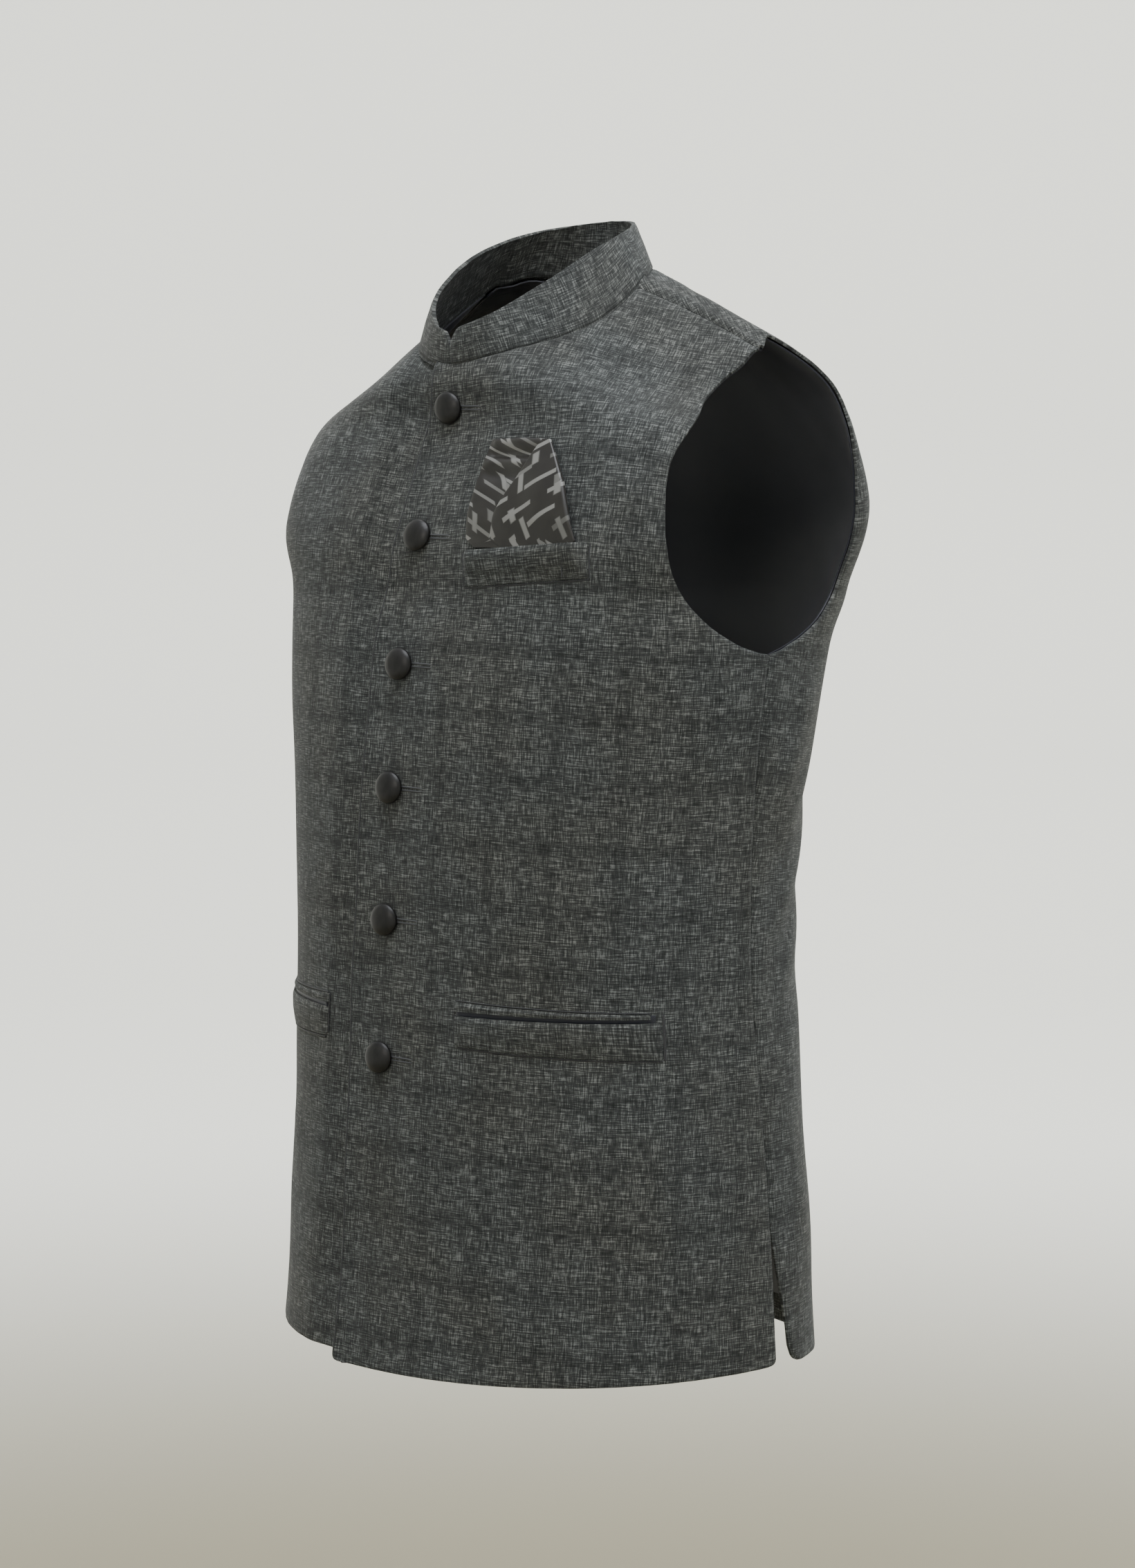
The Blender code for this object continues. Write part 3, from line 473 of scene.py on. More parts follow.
def smooth(t):
    """Rises from 0 to 1 with level ends."""
    t = np.clip(t, 0.0, 1.0)
    return t * t * (3 - 2 * t)


def mix(a, b, t):
    """Straight step from a to b."""
    return a + (b - a) * t


def section_points(index, u):
    """Points of sections at shares u of the way from the centre (0) to the side (1)."""
    centre_z, side_z, width, centre_y, side_y, turn, fullness = np.moveaxis(SECTIONS[index], -1, 0)
    turn = np.radians(turn)
    share = np.abs(u)
    x = bezier(0, fullness * width, width - fullness * width * np.cos(turn), width, share)
    reach = fullness * (centre_y - side_y) * np.sin(turn)
    y = bezier(centre_y, centre_y, side_y + reach, side_y, share)
    out = x / width
    fall = out * out * (1 + EASE) / (out + EASE)
    z = centre_z + (side_z - centre_z) * fall
    return np.stack([np.copysign(x, u), y, z], axis=-1)


def form_points(u, v):
    """Outer face of the cloth at shares u across and section numbers v along, without its folds."""
    u, v = np.broadcast_arrays(np.asarray(u, dtype=float), np.asarray(v, dtype=float))
    return through(lambda index: section_points(index, u), np.clip(v, 0.0, float(LAST)), LAST)


def unit(vectors):
    """The same directions at a length of one."""
    return vectors / np.maximum(np.linalg.norm(vectors, axis=-1, keepdims=True), 1e-12)


def form_normals(u, v):
    """Unit directions out of the cloth, away from the body."""
    step = 0.01
    across = form_points(u + step, v) - form_points(u - step, v)
    along = form_points(u, v + step) - form_points(u, v - step)
    return unit(np.cross(across, along))


def pressed(u, v, z):
    """How far folds, creases and slow waves press the cloth out or in."""
    face = np.where(v < SEAM, -1, 1)
    side = np.where(u >= 0, 1, -1)
    x = np.abs(u) * PANEL_SPAN
    total = np.zeros(np.shape(z))
    for number, fold in enumerate(FOLDS + CREASES):
        start = np.array([fold.from_round * PANEL_SPAN, fold.from_height])
        line = np.array([fold.to_round * PANEL_SPAN, fold.to_height]) - start
        run = line @ line
        place_x, place_z = x - start[0], z - start[1]
        share = (place_x * line[0] + place_z * line[1]) / run
        bow = 0.0 if number < len(FOLDS) else CREASE_BOW * np.sin(np.pi * np.clip(share, 0, 1))
        away = (place_x * line[1] - place_z * line[0]) / math.sqrt(run) + bow
        length = smooth(share / FOLD_TAPER + 0.5) * smooth((1 - share) / FOLD_TAPER + 0.5)
        depth = fold.depth * length * np.exp(-(away / fold.width) ** 2)
        total += np.where((face == fold.face) & (side == fold.side), depth, 0.0)
    slow = np.zeros(np.shape(z))
    for wave in WAVES:
        slant = math.radians(wave.slant)
        along = u * PANEL_SPAN * math.cos(slant) + z * math.sin(slant)
        slow += wave.height * np.sin(2 * math.pi * along / wave.length + wave.start + face)
    slow *= smooth(np.abs(v - SEAM) / WAVE_SEAM_FADE) * sizes().drape
    return (total * sizes().fold_strength + slow) * smooth((1 - np.abs(u)) / FOLD_SEAM_FADE)


def cloth_points(u, v, out):
    """Points on the worn cloth with its folds, moved outward by so many millimetres."""
    points = form_points(u, v)
    lift = out + pressed(u, v, points[..., 2])
    return points + form_normals(u, v) * lift[..., None]


def find_places(target, axes, u, v):
    """Places (u, v) whose form points match the targets on two axes, by Newton steps."""
    step = 0.002
    for _ in range(30):
        point = form_points(u, v)
        miss = np.stack([target[0] - point[..., axes[0]], target[1] - point[..., axes[1]]])
        if np.abs(miss).max() < 0.001:
            break
        across = (form_points(u + step, v) - form_points(u - step, v)) / (2 * step)
        along = (form_points(u, v + step) - form_points(u, v - step)) / (2 * step)
        a, b, c, d = across[..., axes[0]], along[..., axes[0]], across[..., axes[1]], along[..., axes[1]]
        bottom = a * d - b * c
        u = u + np.clip((miss[0] * d - miss[1] * b) / bottom, -0.1, 0.1)
        v = v + np.clip((miss[1] * a - miss[0] * c) / bottom, -0.5, 0.5)
    return u, v


def halved(low, high, is_low):
    """Values between low and high at which a test changes, by halving."""
    for _ in range(24):
        middle = (low + high) / 2
        below = is_low(middle)
        low = np.where(below, middle, low)
        high = np.where(below, high, middle)
    return (low + high) / 2


def level_places(u, height, low, high):
    """Section numbers between low and high at which the form reaches the heights, at shares u."""
    u, height = np.broadcast_arrays(np.asarray(u, dtype=float), np.asarray(height, dtype=float))
    low = np.full(u.shape, float(low))
    high = np.full(u.shape, float(high))
    rising = form_points(u, high)[..., 2] > form_points(u, low)[..., 2]
    return halved(low, high, lambda middle: (form_points(u, middle)[..., 2] < height) == rising)


def front_places(reach, height):
    """Places on the front at reaches from the centre line and heights."""
    reach, height = np.broadcast_arrays(np.asarray(reach, dtype=float), np.asarray(height, dtype=float))
    start = level_places(FIRST_SHARE, height, 0, SEAM)
    return find_places((reach, height), (0, 2), reach / FIRST_REACH, start)


def neck_places(angle):
    """Places on the neckline, at degrees round it from the centre front toward the wearer's left."""
    angle = np.asarray(angle, dtype=float)
    turn = np.radians(angle)
    target = (NECK_HALF_WIDTH * np.sin(turn), NECK_CENTRE_Y - NECK_HALF_DEPTH * np.cos(turn))
    start = SEAM - NECK_FIRST_DROP + NECK_FIRST_RUN * (np.abs(angle) / 180) ** NECK_FIRST_CURVE
    return find_places(target, (0, 1), NECK_FIRST_SHARE * np.sin(turn), start)


def seam_angle():
    """Degrees round the neck at which the neckline crosses the shoulder seam."""
    return float(halved(*NECK_SEAM_RANGE, lambda middle: neck_places([middle])[1][0] < SEAM))


NECK_SEAM_ANGLE = seam_angle()


def step_lengths(points):
    """Running length along lines of points, whose steps run down the first axis."""
    steps = np.linalg.norm(np.diff(points, axis=0), axis=-1)
    return np.concatenate([np.zeros((1,) + steps.shape[1:]), np.cumsum(steps, axis=0)])


def across_lengths(points):
    """Running length across a grid of points, from its first column."""
    return np.moveaxis(step_lengths(np.moveaxis(points, 1, 0)), 0, 1)


# Cloth lengths from the front hem, along one line up the front and down the back
LENGTH_STATIONS = np.arange(10 * LAST + 1) / 10
LENGTHS = step_lengths(form_points(LENGTH_LINE, LENGTH_STATIONS))

# Cloth lengths over the whole form, which the weave and checks follow
WEAVE_COLUMNS = 137
WEAVE_U = np.linspace(-1.02, 1.02, WEAVE_COLUMNS)
WEAVE_V = np.linspace(0, LAST, 20 * LAST + 1)
WEAVE_FORM = form_points(WEAVE_U[None, :], WEAVE_V[:, None])
WEAVE_UP = step_lengths(WEAVE_FORM)
WEAVE_ROUND = across_lengths(WEAVE_FORM)
WEAVE_ROUND = WEAVE_ROUND - WEAVE_ROUND[:, [WEAVE_COLUMNS // 2]]


def lattice_value(table, u, v):
    """Value of a table over the form at a place, straight between its entries."""
    column = np.clip((u - WEAVE_U[0]) / (WEAVE_U[1] - WEAVE_U[0]), 0, len(WEAVE_U) - 1.001)
    row = np.clip((v - WEAVE_V[0]) / (WEAVE_V[1] - WEAVE_V[0]), 0, len(WEAVE_V) - 1.001)
    i, j = row.astype(int), column.astype(int)
    low = mix(table[i, j], table[i, j + 1], column - j)
    high = mix(table[i + 1, j], table[i + 1, j + 1], column - j)
    return mix(low, high, row - i)


def weave_places(u, v):
    """Where places lie on the flat cloth: millimetres round from the centre line and up from the hem."""
    up = lattice_value(WEAVE_UP, u, v)
    whole = lattice_value(WEAVE_UP, u, np.full(np.shape(v), float(LAST)))
    up = np.where(v < SEAM, up, whole - up)
    return np.stack([lattice_value(WEAVE_ROUND, u, v), up], axis=-1)


def even_run(u, v, shares):
    """Places at shares of real length along a smooth line through the given places."""
    places = np.stack([u, v], axis=-1)
    last = len(places) - 1
    line = through(lambda index: places[index], np.linspace(0, last, 12 * last + 1), last)
    lengths = step_lengths(form_points(line[:, 0], line[:, 1]))
    target = np.asarray(shares) * lengths[-1]
    return np.interp(target, lengths, line[:, 0]), np.interp(target, lengths, line[:, 1])


def seam_shares(v, distance):
    """Change of u at the side line that moves the edge by a distance in millimetres."""
    step = np.linalg.norm(form_points(1.0, v) - form_points(0.99, v), axis=-1) / 0.01
    return distance / step


def corner_cut(rise, radius):
    """How far a rounded lower corner cuts in at a rise above the hem."""
    over = np.clip(1 - rise / radius, 0, 1)
    return radius * (1 - np.sqrt(1 - over * over))


def side_run(face, shares, hem_z, setback):
    """Side seam at shares of the way from the hem to the underarm on one face, with the vent below."""
    low, high = (0, UNDERARM + 1) if face < 0 else (LAST, BACK_UNDERARM - 1)
    height = mix(hem_z, UNDERARM_Z, shares)
    v = level_places(1.0, height, low, high)
    open_share = smooth((VENT_TOP_Z - height) / (VENT_TOP_Z - HEM_Z))
    spread = VENT_OPENING * open_share * (1.0 if face > 0 else VENT_FRONT_SHARE)
    corner = corner_cut(height - hem_z, VENT_CORNER if face > 0 else HEM_CORNER)
    return 1 - seam_shares(v, GAP / 2 + spread + setback + corner), v


def armhole_line(face, setback):
    """Armhole edge from the underarm to the shoulder seam on one face."""
    if face < 0:
        under = level_places(1.0, UNDERARM_Z, 0, UNDERARM + 1)
        rows = FRONT_ARMHOLE
        low, high = ARMHOLE_LOW, SEAM
        crossing = []
    else:
        under = level_places(1.0, UNDERARM_Z, LAST, BACK_UNDERARM - 1)
        rows = BACK_ARMHOLE
        low, high = SEAM + ARMHOLE_BACK_TOP, BACK_UNDERARM
        crossing = SHOULDER_CROSSING
    middle_u = np.array([row.round for row in rows])
    middle_v = level_places(middle_u, np.array([row.height for row in rows]), low, high)
    crossing_u = [row.round for row in crossing]
    crossing_v = [SEAM + row.place for row in crossing]
    u = np.concatenate([[1 - seam_shares(under, GAP / 2)], middle_u, crossing_u, [SHOULDER_TIP]])
    v = np.concatenate([[under], middle_v, crossing_v, [SEAM]])
    return u - seam_shares(v, setback), v


def shoulder_gap(u):
    """Change of v that opens half the seam gap at the shoulder."""
    step = np.linalg.norm(form_points(u, SEAM + 0.05) - form_points(u, SEAM - 0.05), axis=-1) / 0.1
    return GAP / 2 / step


def edge_reach(height):
    """How far the front edge reaches past the centre line at each height."""
    heights = np.array([row.height for row in FRONT_EDGE])
    reach = np.array([row.past_centre for row in FRONT_EDGE], dtype=float)
    index = np.clip(np.searchsorted(heights, height, side="right") - 1, 0, len(heights) - 2)
    share = smooth((height - heights[index]) / (heights[index + 1] - heights[index]))
    return mix(reach[index], reach[index + 1], share)


def neck_angle_at(reach):
    """Degrees round the neck at which the neckline passes a reach from the centre line."""
    return math.degrees(math.asin(reach / NECK_HALF_WIDTH))


def centre_line(side, rows):
    """Inner edge of a front at row numbers: up its centre edge, then round the neckline to the seam."""
    hem_z = HEM_Z - LAP_DROP if side > 0 else HEM_Z

    def edge_x(height):
        reach = -edge_reach(height) if side > 0 else np.full(np.shape(height), -float(UNDERLAP_X))
        return reach + corner_cut(height - hem_z, HEM_CORNER)

    first = neck_angle_at(float(edge_x(np.array([FRONT_EDGE[-1].height]))[0]))
    corner_u, corner_v = neck_places([first])
    corner_z = form_points(corner_u, corner_v)[0, 2]
    turn_z = UNDERARM_Z - ROW_DROP
    low = rows <= LOWER_ROWS
    share = 1 - (1 - np.clip((rows - LOWER_ROWS) / MIDDLE_ROWS, 0, 1)) ** CENTRE_CROWDING
    height = np.where(low, mix(hem_z, turn_z, rows / LOWER_ROWS), mix(turn_z, corner_z, share))
    straight = rows <= LOWER_ROWS + MIDDLE_ROWS
    edge_u, edge_v = front_places(edge_x(height), np.where(straight, height, corner_z))
    up = rows - LOWER_ROWS - MIDDLE_ROWS
    turned = NECK_SEAM_ANGLE * (up - 1) / (UPPER_ROWS - 1)
    angle = np.where(up < 1, mix(first, 0, np.clip(up, 0, 1)), turned)
    neck_u, neck_v = neck_places(angle)
    u = np.where(straight, edge_u, neck_u)
    v = np.where(straight, edge_v, neck_v)
    v[-1] -= shoulder_gap(u[-1])
    return u, v


def lining_centre_line(rows):
    """Inner edge of a front lining: up behind the facing, then just below the neckline."""
    low_z = HEM_Z + LINING_HEM_RISE
    first = neck_angle_at(LINING_EDGE_X)
    top_u, top_v = neck_places([first])
    top_z = form_points(top_u, top_v)[0, 2] - LINING_SETBACK
    steps = LOWER_ROWS + MIDDLE_ROWS
    straight = rows < steps
    edge_u, edge_v = front_places(LINING_EDGE_X, mix(low_z, top_z, np.clip(rows / steps, 0, 1)))
    share = np.clip((rows - steps) / UPPER_ROWS, 0, 1)
    neck_u, neck_v = neck_places(mix(first, NECK_SEAM_ANGLE, share))
    neck_u = neck_u + LINING_SETBACK / PANEL_SPAN
    neck_v = neck_v - LINING_NECK_SETBACK / SECTION_SPAN * (1 - share)
    u = np.where(straight, edge_u, neck_u)
    v = np.where(straight, edge_v, neck_v)
    v[-1] -= LINING_SEAM_GAPS * shoulder_gap(u[-1])
    return u, v


def outer_line(face, rows, hem_z, setback=0.0):
    """Outer edge of a panel at row numbers: up the side seam, then round the armhole to the seam."""
    side_u, side_v = side_run(face, np.clip(rows / LOWER_ROWS, 0, 1), hem_z, setback)
    arm_share = np.clip((rows - LOWER_ROWS) / (MIDDLE_ROWS + UPPER_ROWS), 0, 1)
    arm_u, arm_v = even_run(*armhole_line(face, setback), arm_share)
    low = rows < LOWER_ROWS
    u = np.where(low, side_u, arm_u)
    v = np.where(low, side_v, arm_v)
    apart = LINING_SEAM_GAPS if setback else 1
    v[-1] = SEAM + (-1 if face < 0 else 1) * apart * shoulder_gap(u[-1])
    return u, v


def back_top_line(columns, setback=0.0):
    """Top edge of the back at column numbers, from the left shoulder tip to the right one."""
    tip = armhole_line(1, setback)[0][-1]
    apart = LINING_SEAM_GAPS if setback else 1
    drop = LINING_NECK_SETBACK / SECTION_SPAN if setback else 0.0
    half = BACK_COLUMNS / 2
    mirrored = columns > half
    from_tip = np.where(mirrored, BACK_COLUMNS - columns, columns)
    neck_start = float(neck_places([NECK_SEAM_ANGLE])[0][0])
    shoulder_u = mix(tip, neck_start, np.clip(from_tip / BACK_SHOULDER_COLUMNS, 0, 1))
    shoulder_v = SEAM + apart * shoulder_gap(shoulder_u)
    part = np.clip((from_tip - BACK_SHOULDER_COLUMNS) / (half - BACK_SHOULDER_COLUMNS), 0, 1)
    neck_u, neck_v = neck_places(mix(NECK_SEAM_ANGLE, 180, part))
    neck_u = np.where(part >= 1, 0.0, neck_u)
    neck_v = neck_v + shoulder_gap(np.maximum(neck_u, 0.05)) * (1 - part) + drop
    on_shoulder = from_tip < BACK_SHOULDER_COLUMNS
    u = np.where(on_shoulder, shoulder_u, neck_u)
    v = np.where(on_shoulder, shoulder_v, neck_v)
    return np.where(mirrored, -u, u), v


def fine_rows(length_per_row, counts):
    """Row numbers of a panel's fine grid: even in each stretch, with finer ones just above the hem and
    just below the top edge."""
    low, middle, high = counts
    edge = np.array(EDGE_STEPS[:-1]) / length_per_row
    lower = np.linspace(EDGE_STEPS[-1] / length_per_row, LOWER_ROWS, low)
    middle = LOWER_ROWS + np.linspace(0, MIDDLE_ROWS, middle)[1:]
    upper = LOWER_ROWS + MIDDLE_ROWS + np.linspace(0, UPPER_ROWS, high)[1:]
    top = ALL_ROWS - edge[1:][::-1] * TOP_EDGE_STRETCH
    return np.concatenate([edge, lower, middle, upper[upper < top[0] - 0.03], top, [ALL_ROWS]])


def fine_shares(count, length):
    """Shares from 0 to 1 in even steps, with finer ones in the last millimetres at both ends."""
    edge = np.array(EDGE_STEPS) / length
    return np.concatenate([edge[:-1], np.linspace(edge[-1], 1 - edge[-1], count), (1 - edge[:-1])[::-1]])


def edge_distances(points):
    """Distances in millimetres from each grid point to the grid's left, right, bottom and top edges."""
    across = across_lengths(points)
    up = step_lengths(points)
    return across, across[:, -1:] - across, up, up[-1:] - up


def turned_edges(points, weights=(1.0, 1.0, 1.0, 1.0)):
    """How far the cloth dips where it turns in at its left, right, bottom and top edges, each by its
    weight, and the fine pucker that sewing leaves there."""
    left, right, bottom, top = edge_distances(points)
    width = sizes().edge_roll_width
    total = np.zeros(points.shape[:2])
    for weight, near, along in zip(weights, (left, right, bottom, top), (bottom, bottom, left, left)):
        roll = -sizes().edge_roll * weight * np.exp(-(near / width) ** 2)
        ripple = sum(row.share * np.sin(along / row.length + row.start) for row in PUCKERS)
        total += roll + PUCKER_HEIGHT * ripple * np.exp(-near / PUCKER_WIDTH)
    return total


def lay_flat(piece, grid_places, weave):
    """Lays the piece flat as it was cut, then turns and scales it onto its rough place on the cloth."""
    bpy.ops.object.select_all(action="DESELECT")
    piece.select_set(True)
    bpy.context.view_layer.objects.active = piece
    bpy.ops.object.mode_set(mode="EDIT")
    bpy.ops.mesh.select_all(action="SELECT")
    bpy.ops.uv.unwrap(method="ANGLE_BASED", margin=0.0)
    bpy.ops.object.mode_set(mode="OBJECT")
    corners = piece.data.loops
    found = np.zeros(2 * len(corners))
    piece.data.uv_layers["cloth"].data.foreach_get("uv", found)
    owners = np.zeros(len(corners), dtype=int)
    corners.foreach_get("vertex_index", owners)
    rows, columns = grid_places[owners].T
    wanted = weave[rows, columns] * MM
    flat = found[0::2] + 1j * found[1::2]
    goal = wanted[:, 0] + 1j * wanted[:, 1]
    low = rows < FLAT_SHARE * len(weave)
    best = None
    for turned in (flat, flat.conjugate()):
        middle, goal_middle = turned[low].mean(), goal[low].mean()
        away = turned - middle
        scale = (away[low].conjugate() @ (goal[low] - goal_middle)) / (away[low].conjugate() @ away[low])
        laid = away * scale + goal_middle
        miss = np.abs(laid[low] - goal[low]).mean()
        if best is None or miss < best[0]:
            best = (miss, laid)
    placed = np.stack([best[1].real, best[1].imag], axis=-1)
    piece.data.uv_layers["cloth"].data.foreach_set("uv", placed.ravel())


def make_sheet(name, points, weave, thickness, material, bevel=CLOTH_BEVEL, cut_flat=False):
    """Cloth piece from a grid of points in millimetres, with its place on the flat cloth as its UV map."""
    rows, columns = points.shape[0] - 1, points.shape[1] - 1
    bm = bmesh.new()
    bmesh.ops.create_grid(bm, x_segments=columns, y_segments=rows, size=0.5)
    flat = bm.loops.layers.uv.new("cloth")
    grid_places = []
    for vert in bm.verts:
        column = round((vert.co.x + 0.5) * columns)
        row = round((vert.co.y + 0.5) * rows)
        grid_places.append((row, column))
        vert.co = points[row, column] * MM
        place = weave[row, column] * MM
        for loop in vert.link_loops:
            loop[flat].uv = place
    mesh = bpy.data.meshes.new(name)
    bm.to_mesh(mesh)
    bm.free()
    mesh.shade_smooth()
    piece = bpy.data.objects.new(name, mesh)
    bpy.context.scene.collection.objects.link(piece)
    mesh.materials.append(material)
    if cut_flat:
        lay_flat(piece, np.array(grid_places), weave)
    wall = piece.modifiers.new("thickness", "SOLIDIFY")
    wall.thickness = thickness * MM
    wall.offset = -1.0
    if bevel:
        edge = piece.modifiers.new("turned edge", "BEVEL")
        edge.width = bevel * MM
        edge.segments = BEVEL_STEPS
        edge.limit_method = "ANGLE"
        edge.angle_limit = math.radians(BEVEL_ANGLE)
    return piece


def grid_area(points):
    """Area in square metres of the cloth through a grid of points in millimetres."""
    first = np.cross(points[1:, :-1] - points[:-1, :-1], points[:-1, 1:] - points[:-1, :-1])
    second = np.cross(points[1:, :-1] - points[1:, 1:], points[:-1, 1:] - points[1:, 1:])
    doubled = np.linalg.norm(first, axis=-1).sum() + np.linalg.norm(second, axis=-1).sum()
    return float(doubled / 2 * MM * MM)


def dress(piece, node):
    """Lets a piece stand for its solid, on the body that carries it and in its finish."""
    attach(piece, "root")
    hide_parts(node)
    return piece


def sew_on(name, points, weave, thickness, material):
    """Small sewn piece that has no solid, in the finish it is given."""
    piece = make_sheet(name, points, weave, thickness, material, 0)
    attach(piece, "root")


def lap_depth(x):
    """How far the under front sinks below the lapped one, by distance across."""
    full = -max(edge.past_centre for edge in FRONT_EDGE) - LAP_MARGIN
    return (sizes().cloth + LAP_PLAY) * smooth((x - full + LAP_EASE) / LAP_EASE)


def edge_curl(rows, inward):
    """How far the lapped front's free edge curls out, at row numbers and distances from the edge."""
    free = smooth((LOWER_ROWS + MIDDLE_ROWS - rows) / EDGE_CURL_ROWS)
    return EDGE_CURL * free * np.exp(-(inward / EDGE_CURL_WIDTH) ** 2)


def panel_places(side, inner, outer, shares):
    """Places (u, v) of a front's grid from its inner to its outer edge, mirrored for the right one."""
    if side < 0:
        shares = shares[::-1]
    u = side * mix(inner[0][:, None], outer[0][:, None], shares[None, :])
    return u, mix(inner[1][:, None], outer[1][:, None], shares[None, :])


def side_dip(rows):
    """Share of a sewn seam's dip, up the side seam and then round the armhole."""
    return np.where(rows < LOWER_ROWS, 1.0, ARMHOLE_DIP)[:, None]


def make_front(name, side, material):
    """One front, cut from centre edge to side seam; the wearer's right one passes under the other."""
    rows = fine_rows(FRONT_ROW, FINE_ROWS)
    shares = fine_shares(FRONT_FINE, FRONT_WIDTH) ** COLUMN_CROWDING
    u, v = panel_places(side, centre_line(side, rows), outer_line(-1, rows, HEM_Z), shares)
    base = form_points(u, v)
    dips = [np.where(rows > LOWER_ROWS + MIDDLE_ROWS, 1.0, CENTRE_DIP)[:, None], side_dip(rows)]
    if side < 0:
        dips.reverse()
    out = turned_edges(base, (*dips, HEM_DIP, 1.0))
    weave = weave_places(u, v)
    if side < 0:
        out = out - lap_depth(base[..., 0])
        weave = weave + np.array(UNDER_WEAVE_SHIFT)
    else:
        out = out + edge_curl(rows[:, None], edge_distances(base)[0])
    points = cloth_points(u, v, out)
    piece = dress(make_sheet("wool_" + name, points, weave, sizes().cloth, material, cut_flat=True), name)


def back_patch(rows, shares, hem_z, setback):
    """Places (u, v) of the back's grid, between its side edges and its top edge, and shares of the way
    across and up."""
    left_u, left_v = outer_line(1, rows, hem_z, setback)
    top_u, top_v = back_top_line(shares * BACK_COLUMNS, setback)
    left_length = np.interp(left_v, LENGTH_STATIONS, LENGTHS)
    top_length = np.interp(top_v, LENGTH_STATIONS, LENGTHS)
    across, up = shares[None, :], (rows / ALL_ROWS)[:, None]
    u = (1 - 2 * across) * left_u[:, None] + up * (top_u - mix(top_u[0], top_u[-1], shares))[None, :]
    straight = mix(top_length[0], top_length[-1], shares)
    length = left_length[:, None] + up * (top_length - straight)[None, :]
    return u, np.interp(length, LENGTHS, LENGTH_STATIONS), across, up


def vent_flare(u, v):
    """How far the back stands off beside the open vents."""
    height = form_points(u, v)[..., 2]
    below = smooth((VENT_TOP_Z - height) / (VENT_TOP_Z - HEM_Z))
    return VENT_FLARE * below * smooth(1 - (1 - np.abs(u)) / VENT_FLARE_SHARE)


def make_back(name, material):
    """The back, in one piece from side seam to side seam."""
    rows = fine_rows(BACK_ROW, FINE_ROWS)
    u, v, _, _ = back_patch(rows, fine_shares(BACK_FINE, BACK_WIDTH), HEM_Z, 0.0)
    base = form_points(u, v)
    dips = (side_dip(rows), side_dip(rows), HEM_DIP, 1.0)
    points = cloth_points(u, v, turned_edges(base, dips) + vent_flare(u, v))
    weave = weave_places(u, v)
    piece = dress(make_sheet("wool_" + name, points, weave, sizes().cloth, material, cut_flat=True), name)


def lining_lift(across, up, top_play):
    """How far inside the cloth a lining hangs: close at its sewn edges and free between them."""
    inward = np.minimum(across, 1 - across)
    free = smooth(inward / LINING_SIDE_SHARE) * smooth((1 - up) / LINING_TOP_SHARE)
    top = smooth(inward / LINING_YOKE_SHARE) * smooth(1 - (1 - up) / LINING_YOKE_SHARE)
    return -sizes().cloth - GAP - LINING_PLAY - top_play * top - LINING_EASE * free


def lining_ripple(weave, across, up):
    """Soft ripples of the loose lining, which only ever fall inward."""
    x, y = weave[..., 0], weave[..., 1]
    bend = RIPPLE_BEND * np.sin(y / RIPPLE_BEND_LENGTH)
    wave = 1 + np.sin(x / RIPPLE_WIDTH + bend) * np.sin(y / RIPPLE_LENGTH + RIPPLE_START)
    inward = np.minimum(np.minimum(across, 1 - across), np.minimum(up, 1 - up))
    return -RIPPLE_DEPTH * wave * smooth(inward / RIPPLE_FADE)


def hang_lining(name, u, v, out, weave, material):
    """Lining through places on the form, so far out from it, that rests on the panel it lines."""
    points = cloth_points(u, v, out)
    cloth = make_sheet("satin_" + name, points, weave, sizes().lining, material, LINING_BEVEL)
    piece = dress(cloth, name)
    grid_area(form_points(u, v))


def make_front_lining(name, side, material):
    """Lining of one front, from behind its facing to the side seam, just inside the cloth."""
    rows = fine_rows(FRONT_ROW, LINING_FINE_ROWS)
    shares = fine_shares(LINING_FRONT_FINE, LINING_FRONT_WIDTH)
    outer = outer_line(-1, rows, HEM_Z + LINING_HEM_RISE, LINING_SETBACK)
    u, v = panel_places(side, lining_centre_line(rows), outer, shares)
    weave = weave_places(u, v)
    across, up = shares[None, ::side], (rows / ALL_ROWS)[:, None]
    out = lining_lift(across, up, 0.0) + lining_ripple(weave, across, up)
    hang_lining(name, u, v, out, weave, material)


def make_back_lining(name, material):
    """Lining of the back, just inside the cloth and short of the hem."""
    rows = fine_rows(BACK_ROW, LINING_FINE_ROWS)
    shares = fine_shares(LINING_BACK_FINE, LINING_BACK_WIDTH)
    u, v, across, up = back_patch(rows, shares, HEM_Z + LINING_HEM_RISE, LINING_SETBACK)
    weave = weave_places(u, v)
    out = lining_lift(across, up, LINING_TOP_PLAY) + lining_ripple(weave, across, up) + vent_flare(u, v)
    hang_lining(name, u, v, out, weave, material)


def collar_top(angle):
    """Points of the collar's top edge, at signed degrees round from the centre front."""
    turn = np.radians(angle)
    heights = np.array([rib.top_z for rib in COLLAR_RIBS], dtype=float)
    steps = np.abs(angle) / (COLLAR_RIBS[1].angle - COLLAR_RIBS[0].angle)
    index = np.minimum(steps.astype(int), len(heights) - 2)
    padded = np.concatenate([[heights[1]], heights, [heights[-2]]])
    z = spline(padded[index], padded[index + 1], padded[index + 2], padded[index + 3], steps - index)
    x = COLLAR_TOP_HALF_WIDTH * np.sin(turn)
    y = COLLAR_TOP_CENTRE_Y - NECK_HALF_DEPTH * np.cos(turn)
    return np.stack([x, y, z], axis=-1)


